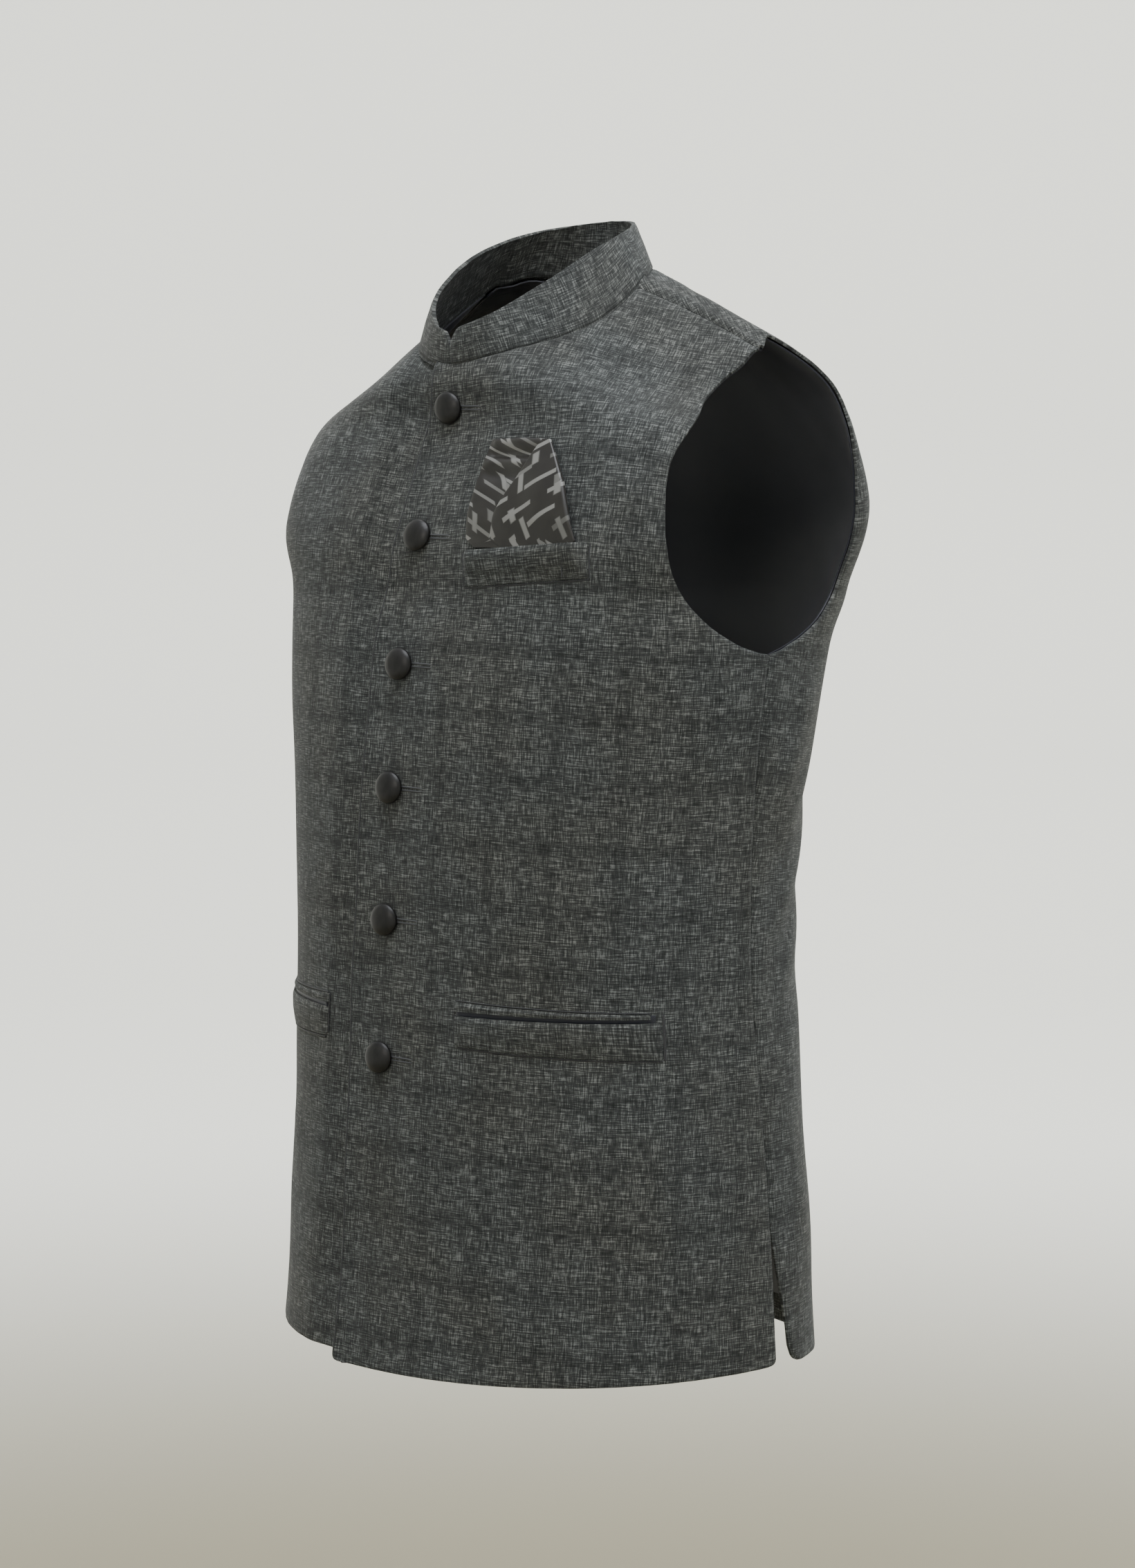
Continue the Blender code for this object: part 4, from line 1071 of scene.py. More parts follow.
def neck_edge(angle):
    """Neckline points, the cloth's normals there and the directions that leave the panels."""
    u, v = neck_places(angle)
    nearby = form_points(*neck_places(angle + 1)) - form_points(*neck_places(angle - 1))
    normal = form_normals(u, v)
    off_panel = unit(np.cross(normal, nearby))
    off_panel = np.where(off_panel[..., 2:] < 0, -off_panel, off_panel)
    return form_points(u, v), normal, off_panel


def collar_cut(height, full_height):
    """How far the collar's front end is cut back at each height: the notch, then the round corner."""
    over = np.clip(height - (full_height - COLLAR_CORNER), 0, COLLAR_CORNER) / COLLAR_CORNER
    corner = COLLAR_CORNER * (1 - np.sqrt(1 - over * over))
    return corner + COLLAR_NOTCH * smooth((height - COLLAR_NOTCH_HEIGHT) / COLLAR_NOTCH_RISE)


def collar_half(side, shares, up, end_height):
    """Grid points and flat places of half the collar, from the centre back to the front end."""
    angles = np.linspace(180, COLLAR_FIRST_ANGLE, COLLAR_STATIONS)
    point, normal, off_panel = neck_edge(side * angles)
    lengths = step_lengths(point)
    total = lengths[-1] - COLLAR_PARTING
    length = shares[None, :] * total
    cut = collar_cut(end_height * np.maximum(up, 0), end_height)[:, None]
    length = length - cut * smooth(1 - (total - length) / COLLAR_CORNER_REACH)

    def along(table, place):
        return np.stack([np.interp(place, lengths, table[:, k]) for k in range(3)], axis=-1)

    base = along(point + off_panel * GAP, length)
    nearby = along(point + off_panel * GAP, length - COLLAR_STEP)
    angle = np.interp(length, lengths, angles)
    rise = collar_top(side * angle) - base
    face = unit(np.cross(rise, nearby - base))
    outward = face[..., 0] * base[..., 0] + face[..., 1] * (base[..., 1] - NECK_CENTRE_Y)
    face = np.where(outward[..., None] < 0, -face, face)
    in_front = (base[..., 1] < NECK_CENTRE_Y) & (side < 0)
    sink = COLLAR_UNDER_SINK * np.where(in_front, lap_depth(-np.abs(base[..., 0])), 0.0)
    height = up[:, None]
    under = along(normal, length)
    points = base + rise * np.maximum(height, 0)[..., None] - under * sink[..., None]
    foot = np.maximum(-height, 0)
    points = points - along(off_panel, length) * (COLLAR_FOOT * foot)[..., None]
    points = points - under * (COLLAR_FOOT_DEPTH * foot ** COLLAR_FOOT_CURVE)[..., None]
    rounded = smooth((1 - height) / COLLAR_BELLY_TOP) * smooth(height / COLLAR_BELLY_FOOT + 1)
    points = points + face * (COLLAR_BELLY * rounded)[..., None]
    risen = np.linalg.norm(rise, axis=-1) * np.maximum(height, 0) - COLLAR_FOOT * foot
    return points, np.stack([side * length, risen], axis=-1), face


def make_collar(name, material):
    """Stand collar: a band from one front end round the neck to the other, with rounded top corners."""
    up = np.concatenate([COLLAR_FOOT_ROWS, fine_shares(COLLAR_FINE_ROWS, COLLAR_HEIGHT)])
    even = np.linspace(0, 1 - COLLAR_END_SHARE, COLLAR_FINE // 2 - COLLAR_END_COLUMNS)[:-1]
    end = 1 - COLLAR_END_SHARE * np.linspace(1, 0, COLLAR_END_COLUMNS + 1) ** COLLAR_END_CROWDING
    shares = np.concatenate([even, end])
    end_height = float(np.linalg.norm(collar_top(np.array([0.0])) - neck_edge(np.array([0.0]))[0]))
    halves = zip(collar_half(1, shares, up, end_height), collar_half(-1, shares, up, end_height))
    points, weave, face = [np.concatenate([left[:, ::-1], right[:, 1:]], axis=1) for left, right in halves]
    points = points + face * (COLLAR_DIP * turned_edges(points, COLLAR_DIPS))[..., None]
    cloth = make_sheet("wool_" + name, points, weave, sizes().collar_cloth, material, COLLAR_BEVEL)
    piece = dress(cloth, name)


def pocket_drop(side):
    """How much lower a pocket piece lies on the under front."""
    return UNDER_POCKET_DROP if side < 0 else 0


def strip_places(pocket, across, up, drop):
    """Places on the front inside a pocket piece's four corners, lowered by the drop."""
    places = []
    for index in range(2):
        low = mix(pocket.inner_bottom[index], pocket.outer_bottom[index], across)
        high = mix(pocket.inner_top[index], pocket.outer_top[index], across)
        places.append(mix(low, high, up))
    return front_places(places[0], places[1] - drop)


def strip_lift(rise, inward, mouth):
    """How far a strip's face stands off the front: flush where it is sewn on, most along its mouth."""
    free = smooth(rise / STRIP_FREE_SHARE) * smooth(inward / STRIP_END_SHARE)
    return STRIP_FLUSH + (GAP + STRIP_LIFT + WELT_CLOTH - STRIP_FLUSH) * free + mouth * free * smooth(rise)


def make_strip(name, side, pocket, mouth, rows, material, corner=0.0, slit=0.0):
    """A strip of cloth that lies on a front: sewn on at its bottom and ends, free along its mouth."""
    width = pocket.outer_top.reach - pocket.inner_top.reach
    height = max(pocket.inner_top.height - pocket.inner_bottom.height, 2)
    edge = np.minimum(np.array(EDGE_STEPS), STRIP_EDGE_SHARE * height) / height
    up = np.unique(np.concatenate([edge, np.linspace(edge[-1], 1 - edge[-1], rows), 1 - edge]))
    share, rise = np.meshgrid(fine_shares(STRIP_COLUMNS, width), up)
    cut = corner_cut(rise * height, corner) / width if corner else 0.0
    share = np.clip(cut + share * (1 - cut), 0, 1)[:, ::side]
    u, v = strip_places(pocket, share, rise * (1 - slit / height), pocket_drop(side))
    inward = np.minimum(share, 1 - share)
    out = strip_lift(1 - rise if height < LIP_HEIGHT else rise, inward, mouth)
    dips = turned_edges(form_points(side * u, v), STRIP_DIPS) * min(STRIP_DIP, height / STRIP_DIP_HEIGHT)
    points = cloth_points(side * u, v, out + dips)
    round_place = side * (share * width + pocket.inner_top.reach)
    weave = np.stack([round_place, rise * height + STRIP_WEAVE_SHIFT], axis=-1)
    piece = dress(make_sheet("wool_" + name, points, weave, WELT_CLOTH, material, STRIP_BEVEL), name)


def square_edges(height):
    """How far the pocket square's three edges lie from the centre line at each height."""
    rows = SQUARE_ROWS
    heights = [row.height for row in rows]
    return [np.interp(height, heights, [row[k] for row in rows]) for k in (1, 2, 3)]


def make_pocket_square(name, material):
    """Folded square: a rear fold with a rolled top and a front fold that slants down from its peak."""
    front_start = SQUARE_REAR_COLUMNS + SQUARE_TURN_COLUMNS
    up = fine_shares(SQUARE_FINE_ROWS, SQUARE_HEIGHT)
    low, high = SQUARE_ROWS[0].height, SQUARE_ROWS[-1].height
    column, rise = np.meshgrid(np.arange(front_start + SQUARE_FRONT_COLUMNS + 1.0), up)
    height = mix(low, high, rise)
    left, slant, right = square_edges(height)
    above = smooth((height - SQUARE_SINK_Z) / SQUARE_RISE)
    rear = GAP + STRIP_LIFT + SQUARE_CLOTH / 2 + SQUARE_LIFT * above
    puff = SQUARE_PUFF * np.sin(math.pi * rise)
    spread = SQUARE_CLOTH + SQUARE_FOLD_GAP + above * (SQUARE_FOLD_GAP + puff)
    rear_share = np.clip(column / SQUARE_REAR_COLUMNS, 0, 1)
    turn = math.pi * (np.clip((column - SQUARE_REAR_COLUMNS) / SQUARE_TURN_COLUMNS, 0, 1) - 0.5)
    front_share = np.clip((column - front_start) / SQUARE_FRONT_COLUMNS, 0, 1)
    is_rear = column <= SQUARE_REAR_COLUMNS
    is_front = column >= front_start
    reach = np.where(is_rear, mix(left, right, rear_share), right + spread / 2 * np.cos(turn))
    reach = np.where(is_front, mix(right, slant, front_share), reach)
    out = np.where(is_rear, rear, rear + spread / 2 * (1 + np.sin(turn)))
    out = np.where(is_front, rear + spread, out)
    ripple = SQUARE_RIPPLE * np.sin(reach / SQUARE_RIPPLE_WIDTH + height / SQUARE_RIPPLE_HEIGHT) * above
    inside = smooth((right - reach) / SQUARE_RIGHT_FADE) * smooth((reach - left) / SQUARE_LEFT_FADE)
    wave = np.sin(rear_share * SQUARE_PINCH_ACROSS + rise * SQUARE_PINCH_UP)
    pinch = SQUARE_PINCH * wave * above * (1 - rear_share)
    for roll in SQUARE_ROLLS:
        pinch = pinch + roll.depth * np.exp(-((height - roll.height) / roll.width) ** 2) * inside
    u, v = front_places(reach, height)
    points = cloth_points(u, v, out + np.where(is_rear, pinch, ripple))[:, ::-1]
    weave = np.stack([across_lengths(points), height - low], axis=-1)
    piece = dress(make_sheet("satin_" + name, points, weave, SQUARE_CLOTH, material, SQUARE_BEVEL), name)


# Button profile, radius and height, from the middle of its face back to its shank
BUTTON_PROFILE = [
    (0.0, 8.0),
    (2.6, 7.85),
    (5.2, 7.4),
    (7.2, 6.75),
    (8.8, 5.9),
    (9.9, 5.0),
    (10.4, 4.2),
    (10.5, 3.5),
    (10.1, 2.8),
    (8.6, 1.9),
    (5.0, 1.7),
    (3.2, 1.6),
    (3.2, 0.0),
    (0.0, 0.0),
]


def button_reach(index):
    """How far a button sits from the centre line: the top ones lie a little toward the wearer's left."""
    return max(4 - 2 * index, 0)


def make_turned(name, profile, steps, material, place=Matrix(), inward=False):
    """Turned object from a profile of radius and height, with its faces looking out or inward."""
    bm = bmesh.new()
    verts = [bm.verts.new((radius, 0, height)) for radius, height in profile]
    edges = [bm.edges.new(pair) for pair in zip(verts, verts[1:])]
    turn = 2 * math.pi
    origin, axis = (0, 0, 0), (0, 0, 1)
    bmesh.ops.spin(bm, geom=verts + edges, cent=origin, axis=axis, angle=turn, steps=steps, use_merge=True)
    bmesh.ops.remove_doubles(bm, verts=bm.verts, dist=0.0001)
    bmesh.ops.recalc_face_normals(bm, faces=bm.faces)
    if inward:
        bmesh.ops.reverse_faces(bm, faces=bm.faces)
    bm.transform(place)
    mesh = bpy.data.meshes.new(name)
    bm.to_mesh(mesh)
    bm.free()
    mesh.shade_smooth()
    mesh.materials.append(material)
    turned = bpy.data.objects.new(name, mesh)
    bpy.context.scene.collection.objects.link(turned)
    return turned


def make_button(index, material):
    """Turned button: a domed face, a rounded rim, a flat back and a narrow shank on which it leans."""
    u, v = front_places([button_reach(index)], [BUTTON_HEIGHTS[index]])
    normal = Vector(form_normals(u, v)[0])
    foot = Vector(cloth_points(u, v, np.array([GAP]))[0]) * MM
    turn = normal.to_track_quat("Z", "Y").to_matrix().to_4x4()
    twist = Matrix.Rotation(BUTTON_TWIST * index, 4, "Z")
    lean = Matrix.Rotation(math.radians(BUTTON_TILT), 4, "Z")
    place = Matrix.Translation(foot) @ lean @ turn @ twist @ Matrix.Scale(MM, 4)
    name = "button_" + str(index + 1)
    dress(make_turned("horn_" + name, BUTTON_PROFILE, BUTTON_STEPS, material, place), name)


# Sewn details: buttonholes beside the buttons, stitching along the lap's edge, and lines of thread round
# the pockets, dark down their middles with painted shade of the seams, each by the reach and height of
# both its ends and how far out it lies
BUTTONHOLE_START = 7
BUTTONHOLE_LENGTH = 22
BUTTONHOLE_HALF = 2.1
BUTTONHOLE_CLOTH = 0.4
BUTTONHOLE_ROUNDING = 8
BUTTONHOLE_END = 0.25
RIDGE_PLACE = 0.52
RIDGE_WIDTH = 0.3
RIDGE_HEIGHT = 0.85
RIDGE_SINK = 0.35
FACING_HEIGHT = 5
FACING_END = 0.012
FACING_LIFT = 0.5
FACING_ROUND = 0.3
STITCH_HALF = 0.45
EDGE_STITCH = 1.6
EDGE_STITCH_START = 0.15
EDGE_STITCH_STEPS = 260
THREAD_CLOTH = 0.3
THREAD_ACROSS = np.linspace(-1, 1, 7)
STITCH_LIFT = 0.25
STITCH_ROUND = 0.35
Stitch = namedtuple("Stitch", "reach height to_reach to_height out")
BREAST_STITCHES = [
    Stitch(129.0, -168.5, 129.4, -187.0, 3.4),
    Stitch(49.0, -197.0, 145.5, -189.0, 0.4),
    Stitch(145.8, -166.5, 146.2, -188.5, 0.4),
    Stitch(45.4, -175.0, 48.0, -196.0, 0.4),
]
HIP_STITCHES = [
    Stitch(66.0, -487.2, 176.0, -491.1, 0.4),
    Stitch(176.0, -461.5, 176.8, -490.5, 0.4),
    Stitch(62.3, -458.5, 62.9, -484.0, 0.4),
    Stitch(63.5, -457.4, 172.0, -460.3, 0.4),
]


def make_buttonhole(index, material):
    """Worked buttonhole: two raised ridges of thread with a slit between them."""
    share, side = np.meshgrid(np.linspace(0, 1, 45), np.linspace(-1, 1, 17))
    reach = button_reach(index) + BUTTONHOLE_START + BUTTONHOLE_LENGTH * share
    narrow = np.sqrt(np.clip(1 - np.abs(2 * share - 1) ** BUTTONHOLE_ROUNDING, 0, 1))
    level = BUTTON_HEIGHTS[index] + BUTTONHOLE_HALF * side * mix(BUTTONHOLE_END, 1, narrow)
    ridge = np.exp(-((np.abs(side) - RIDGE_PLACE) / RIDGE_WIDTH) ** 2) * narrow
    points = cloth_points(*front_places(reach, level), RIDGE_HEIGHT * ridge - RIDGE_SINK)
    weave = np.stack([BUTTONHOLE_LENGTH * share, BUTTONHOLE_HALF * side], axis=-1)
    sew_on("buttonhole_" + str(index + 1), points, weave, BUTTONHOLE_CLOTH, material)


def make_stitching_and_shade(number, side, stitch, material):
    """Line of thread along a pocket piece's sewn edge, dark down its middle: partly stitching, partly
    painted shade of the seam's groove.
    """
    along, across = np.meshgrid(np.linspace(0, 1, 60), THREAD_ACROSS)
    run = np.array([stitch.to_reach - stitch.reach, stitch.to_height - stitch.height])
    length = float(np.hypot(*run))
    aside = STITCH_HALF * np.array([-run[1], run[0]]) / length
    reach = stitch.reach + run[0] * along + aside[0] * across
    level = stitch.height - pocket_drop(side) + run[1] * along + aside[1] * across
    u, v = front_places(reach, level)
    points = cloth_points(side * u, v, stitch.out - STITCH_ROUND * across ** 2)
    weave = np.stack([length * along, STITCH_HALF * across], axis=-1)
    sew_on("stitching_shade_" + str(number + 1), points, weave, THREAD_CLOTH, material)


def make_edge_stitching_and_shade(material):
    """Line of stitching that holds the turned edge of the lapped front flat, dark down its middle with
    painted shade that marks the lap's edge.
    """
    rows = np.linspace(EDGE_STITCH_START, LOWER_ROWS + MIDDLE_ROWS, EDGE_STITCH_STEPS)
    across = THREAD_ACROSS[None, :]
    u, v = centre_line(1, rows)
    step = 0.01
    span = np.linalg.norm(form_points(u + step, v) - form_points(u - step, v), axis=-1) / (2 * step)
    inward = EDGE_STITCH + STITCH_HALF * across
    u = u[:, None] + inward / span[:, None]
    v = v[:, None] + np.zeros_like(u)
    points = cloth_points(u, v, edge_curl(rows[:, None], inward) + STITCH_LIFT - STITCH_ROUND * across ** 2)
    length = step_lengths(points)[:, :1] + np.zeros_like(u)
    weave = np.stack([length, STITCH_HALF * across + np.zeros_like(u)], axis=-1)
    sew_on("stitching_shade_edge", points, weave, THREAD_CLOTH, material)


def make_mouth_cloth_and_shade(name, side, pocket, material):
    """Pocket cloth in the dark lining twill, laid in the slit of a pocket's mouth: partly the real pocket
    cloth, partly a dark sheet that stands in for the shade inside the mouth.
    """
    share, rise = np.meshgrid(np.linspace(FACING_END, 1 - FACING_END, 50), np.linspace(-1, 1, 9))
    reach = mix(pocket.inner_top.reach, pocket.outer_top.reach, share)
    mouth = mix(pocket.inner_top.height, pocket.outer_top.height, share)
    level = mouth + FACING_HEIGHT / 2 * rise - pocket_drop(side)
    # Painted shade: this dark strip darkens the pocket's slit
    u, v = front_places(reach, level)
    points = cloth_points(side * u, v, FACING_LIFT - FACING_ROUND * rise ** 2)
    sew_on("mouth_cloth_shade_" + name, points, np.stack([reach, level], axis=-1), THREAD_CLOTH, material)


def make_stage(material):
    """Pale floor that curves up into a round wall, well clear of the garment."""
    profile = [(radius, height + FLOOR_Z) for radius, height in STAGE_PROFILE]
    make_turned("stage", profile, STAGE_STEPS, material, inward=True)


def linear(text):
    """Linear colour from an sRGB hex value."""
    channels = [int(text[k:k + 2], 16) / 255 for k in (1, 3, 5)]
    return tuple(c / 12.92 if c <= 0.04045 else ((c + 0.055) / 1.055) ** 2.4 for c in channels)


def add_node(tree, kind, inputs=None, **settings):
    """One node with its settings; an input is a plain value or the socket that feeds it."""
    node = tree.nodes.new(kind)
    for name, value in settings.items():
        setattr(node, name, value)
    for socket, value in (inputs or {}).items():
        if isinstance(value, bpy.types.NodeSocket):
            tree.links.new(value, node.inputs[socket])
        else:
            node.inputs[socket].default_value = value
    return node


def start_material(name, **shader_values):
    """New material, its node tree and its shader, with the shader's own values set."""
    material = bpy.data.materials.new(name)
    material.use_nodes = True
    shader = material.node_tree.nodes["Principled BSDF"]
    for socket, value in shader_values.items():
        shader.inputs[socket.replace("_", " ")].default_value = value
    return material, material.node_tree, shader


def finish_material(tree, shader, base, height=None, strength=0.0, distance=0.0):
    """Feeds the shader its base colour and a fine relief."""
    tree.links.new(base, shader.inputs["Base Color"])
    if height is not None:
        relief = {"Height": height, "Strength": strength, "Distance": distance}
        tree.links.new(add_node(tree, "ShaderNodeBump", relief).outputs[0], shader.inputs["Normal"])


def noise(tree, place, scale, detail, roughness=0.5, output=0):
    """Soft random value at a place, or a random colour where the output is 1."""
    inputs = {0: place, "Scale": scale, "Detail": detail, "Roughness": roughness}
    return add_node(tree, "ShaderNodeTexNoise", inputs).outputs[output]


def stripes(tree, place, scale, distortion, detail=2.0):
    """Fine parallel ribs."""
    inputs = {0: place, "Scale": scale, "Distortion": distortion, "Detail": detail}
    return add_node(tree, "ShaderNodeTexWave", inputs).outputs[1]


def mapped(tree, place, shift=(0, 0, 0), turn=(0, 0, 0), scale=(1, 1, 1)):
    """The place, shifted, turned and scaled."""
    return add_node(tree, "ShaderNodeMapping", {0: place, 1: shift, 2: turn, 3: scale}).outputs[0]


def step_up(tree, value, low, high, top=1.0):
    """Soft step from 0 to the top value as the input passes from low to high."""
    inputs = {0: value, 1: low, 2: high, 3: 0.0, 4: top}
    return add_node(tree, "ShaderNodeMapRange", inputs, interpolation_type="SMOOTHSTEP").outputs[0]


def blend(tree, factor, low, high, kind="MIX"):
    """Blend of two colours."""
    inputs = {0: factor, 6: low, 7: high}
    return add_node(tree, "ShaderNodeMix", inputs, data_type="RGBA", blend_type=kind).outputs[2]


def math_of(tree, kind, first, second=0.0, third=0.0):
    """Value worked out from others."""
    return add_node(tree, "ShaderNodeMath", {0: first, 1: second, 2: third}, operation=kind).outputs[0]


def paint(name):
    """Colour for a socket, by its name in the list of colours."""
    return (*linear(getattr(colours(), name)), 1)


def cloth_mm(tree):
    """Place on the flat cloth in millimetres."""
    place = add_node(tree, "ShaderNodeUVMap", uv_map="cloth").outputs[0]
    return mapped(tree, place, scale=(1000, 1000, 1000))


def thread_noise(tree, place, pitch, run, along_warp, start):
    """Uneven yarn: narrow across, long in its own direction."""
    scale = (1 / pitch, 1 / run, 1) if along_warp else (1 / run, 1 / pitch, 1)
    moved = mapped(tree, place, (start, 1.7 * start, 0), scale=scale)
    return noise(tree, moved, 1.0, 1.5, 0.6)


# Yarns of the wool: width in thread pitches, length of a slub in millimetres, and share of the tone
Yarn = namedtuple("Yarn", "width run along_warp start share")
YARNS = [
    Yarn(1.0, 8, True, 0.0, 1.0),
    Yarn(1.0, 10, False, 31.0, 1.05),
    Yarn(2.2, 60, True, 57.0, 0.28),
    Yarn(2.0, 45, False, 83.0, 0.30),
]
FIBRE_SHARE = 0.37
YARN_WANDER = 1.2

# Check of the wool: where each dark band starts and is full on its wave, and how dark it is, then the
# pale pair's place on the warp's wave, and its half width
Band = namedtuple("Band", "start full depth")
WEFT_BAND = Band(0.60, 0.98, 0.055)
WARP_BAND = Band(0.75, 0.98, 0.04)
PALE_BAND = Band(0.008, 0.02, 0.07)
PALE_PLACE = 1.9
PALE_HALF = 0.02
PALE_CREST = (0.93, 0.97)
CHECK_HEIGHT_SHARE = 0.92

# Tones at which the dark yarn turns into the main one, and that into the pale one
DARK_TO_MAIN = (1.10, 1.62)
MAIN_TO_PALE = (1.46, 1.92)


def make_wool():
    """Charcoal melange suiting, woven loosely of slubby yarn: matt, with pale and dark threads that
    start and stop, a faint check of denser yarn, and a soft bloom of loose fibre at grazing angles."""
    material, tree, shader = start_material(
        "melange_wool",
        Roughness=0.9,
        Sheen_Weight=0.07,
        Sheen_Roughness=0.4,
        Specular_IOR_Level=0.2,
    )
    pitch = sizes().thread_pitch / MM
    repeat = sizes().check_repeat / MM
    mm = cloth_mm(tree)
    wander = noise(tree, mm, 0.06, 1.0, output=1)
    inputs = {0: wander, 1: (YARN_WANDER, YARN_WANDER, 0), 2: mm}
    bent = add_node(tree, "ShaderNodeVectorMath", inputs, operation="MULTIPLY_ADD").outputs[0]
    yarns = []
    for yarn in YARNS:
        yarns.append(thread_noise(tree, bent, yarn.width * pitch, yarn.run, yarn.along_warp, yarn.start))
    tone = math_of(tree, "MULTIPLY", noise(tree, mm, 1.1, 2.0, 0.7), FIBRE_SHARE)
    for yarn, grain in zip(YARNS, yarns):
        tone = math_of(tree, "MULTIPLY_ADD", grain, yarn.share, tone)

    parts = add_node(tree, "ShaderNodeSeparateXYZ", {0: bent})
    turn_x = math_of(tree, "MULTIPLY", parts.outputs[0], 2 * math.pi / repeat)
    turn_y = math_of(tree, "MULTIPLY", parts.outputs[1], 2 * math.pi / (CHECK_HEIGHT_SHARE * repeat))
    wefts = step_up(tree, math_of(tree, "COSINE", turn_y), *WEFT_BAND)
    warps = step_up(tree, math_of(tree, "COSINE", turn_x), *WARP_BAND)
    pair = math_of(tree, "COSINE", math_of(tree, "ADD", turn_x, PALE_PLACE))
    pale_pair = step_up(tree, math_of(tree, "PINGPONG", pair, PALE_HALF), *PALE_BAND)
    pale_pair = math_of(tree, "MULTIPLY", pale_pair, step_up(tree, pair, *PALE_CREST))
    tone = math_of(tree, "SUBTRACT", tone, wefts)
    tone = math_of(tree, "SUBTRACT", tone, warps)
    tone = math_of(tree, "ADD", tone, pale_pair)
    base = blend(tree, step_up(tree, tone, *DARK_TO_MAIN), paint("wool_black"), paint("wool_mid"))
    base = blend(tree, step_up(tree, tone, *MAIN_TO_PALE), base, paint("wool_pale"))
    cloudy = noise(tree, mm, 0.012, 2.0)
    tint = blend(tree, step_up(tree, cloudy, 0.38, 0.62), paint("wool_cool"), paint("wool_warm"))
    base = blend(tree, 1.0, base, tint, "MULTIPLY")
    finish_material(tree, shader, base, math_of(tree, "ADD", yarns[0], yarns[1]), 0.6, 0.0004)
    return material


def make_lining_satin():
    """Navy-black lining twill: thin and smooth, with a soft gloss along its diagonal rib."""
    material, tree, shader = start_material(
        "lining_twill",
        Roughness=0.5,
        Sheen_Weight=0.1,
        Specular_IOR_Level=0.3,
    )
    turned = mapped(tree, cloth_mm(tree), turn=(0, 0, math.radians(38)))
    rib = stripes(tree, turned, 0.45, 0.6, 1.0)
    tone = math_of(tree, "MULTIPLY", rib, noise(tree, turned, 0.03, 3.0))
    base = blend(tree, tone, paint("lining_dark"), paint("lining_light"))
    finish_material(tree, shader, base, rib, 0.25, 0.0001)
    return material


def print_bars(tree, place, turn, shift, size, border):
    """Bars of a printed layout: staggered rows of boxes in mm, each bordered by ground cloth."""
    inputs = {
        0: mapped(tree, place, shift, (0, 0, math.radians(turn))),
        "Color1": (1, 1, 1, 1),
        "Color2": (0.25, 0.25, 0.25, 1),
        "Mortar": (0, 0, 0, 1),
        "Scale": 1.0,
        "Mortar Size": border,
        "Mortar Smooth": 0.1,
        "Bias": -0.2,
        "Brick Width": size[0],
        "Row Height": size[1],
    }
    return add_node(tree, "ShaderNodeTexBrick", inputs, offset=0.5).outputs[0]


def make_square_satin():
    """Printed silk satin: a dark ground with pale bars and small blocks, glossy on its rounded folds."""
    material, tree, shader = start_material(
        "printed_satin",
        Roughness=0.33,
        Sheen_Weight=0.1,
        Sheen_Roughness=0.3,
        Specular_IOR_Level=0.35,
    )
    mm = cloth_mm(tree)
    long_bars = print_bars(tree, mm, -38, (3, 1, 0), (30, 14), 5.6)
    cross_bars = print_bars(tree, mm, 52, (9, 5, 0), (34, 23), 10.4)
    small_blocks = print_bars(tree, mm, -38, (5, 12, 0), (29, 34), 13.2)
    either = blend(tree, 1.0, long_bars, cross_bars, "LIGHTEN")
    either = blend(tree, 1.0, either, small_blocks, "LIGHTEN")
    ground = blend(tree, noise(tree, mm, 0.08, 2.0), paint("satin_dark"), paint("satin_ground"))
    base = blend(tree, either, ground, paint("satin_print"))
    finish_material(tree, shader, base, stripes(tree, mm, 0.6, 1.0), 0.12, 0.0001)
    return material


def make_horn():
    """Polished horn, turned on a lathe: near-black with faint drifting streaks and a clear gloss."""
    material, tree, shader = start_material(
        "polished_horn",
        Roughness=0.4,
        IOR=1.45,
        Coat_Weight=0.06,
        Coat_Roughness=0.15,
        Specular_IOR_Level=0.32,
    )
    place = add_node(tree, "ShaderNodeTexCoord").outputs["Object"]
    drift = mapped(tree, place, turn=(0.3, 0.5, 0.4), scale=(420, 160, 160))
    share = step_up(tree, noise(tree, drift, 1.0, 4.0, 0.6), 0.35, 0.7)
    base = blend(tree, share, paint("horn_dark"), paint("horn_light"))
    finish_material(tree, shader, base, noise(tree, place, 2600.0, 2.0), 0.06, 0.0001)
    return material


def make_thread_and_slit_shade():
    """Silk twist of buttonholes and seams: charcoal strands laid side by side, with painted shade down the
    middle, which stands for the shade inside a buttonhole's slit and along a seam's groove.
    """
    material, tree, shader = start_material("silk_twist_and_slit_shade", Roughness=0.6)
    mm = cloth_mm(tree)
    rib = stripes(tree, mm, 0.42, 0.4)
    parts = add_node(tree, "ShaderNodeSeparateXYZ", {0: mm})
    # Painted shade: the middle of every thread piece takes the dark slit colour, for the shade inside a
    # buttonhole's slit and along a seam
    slit = step_up(tree, math_of(tree, "ABSOLUTE", parts.outputs[1]), 0.15, 0.6)
    base = blend(tree, math_of(tree, "MULTIPLY", slit, rib), paint("slit_and_seam_shade"), paint("thread_light"))
    finish_material(tree, shader, base, rib, 0.6, 0.0003)
    return material


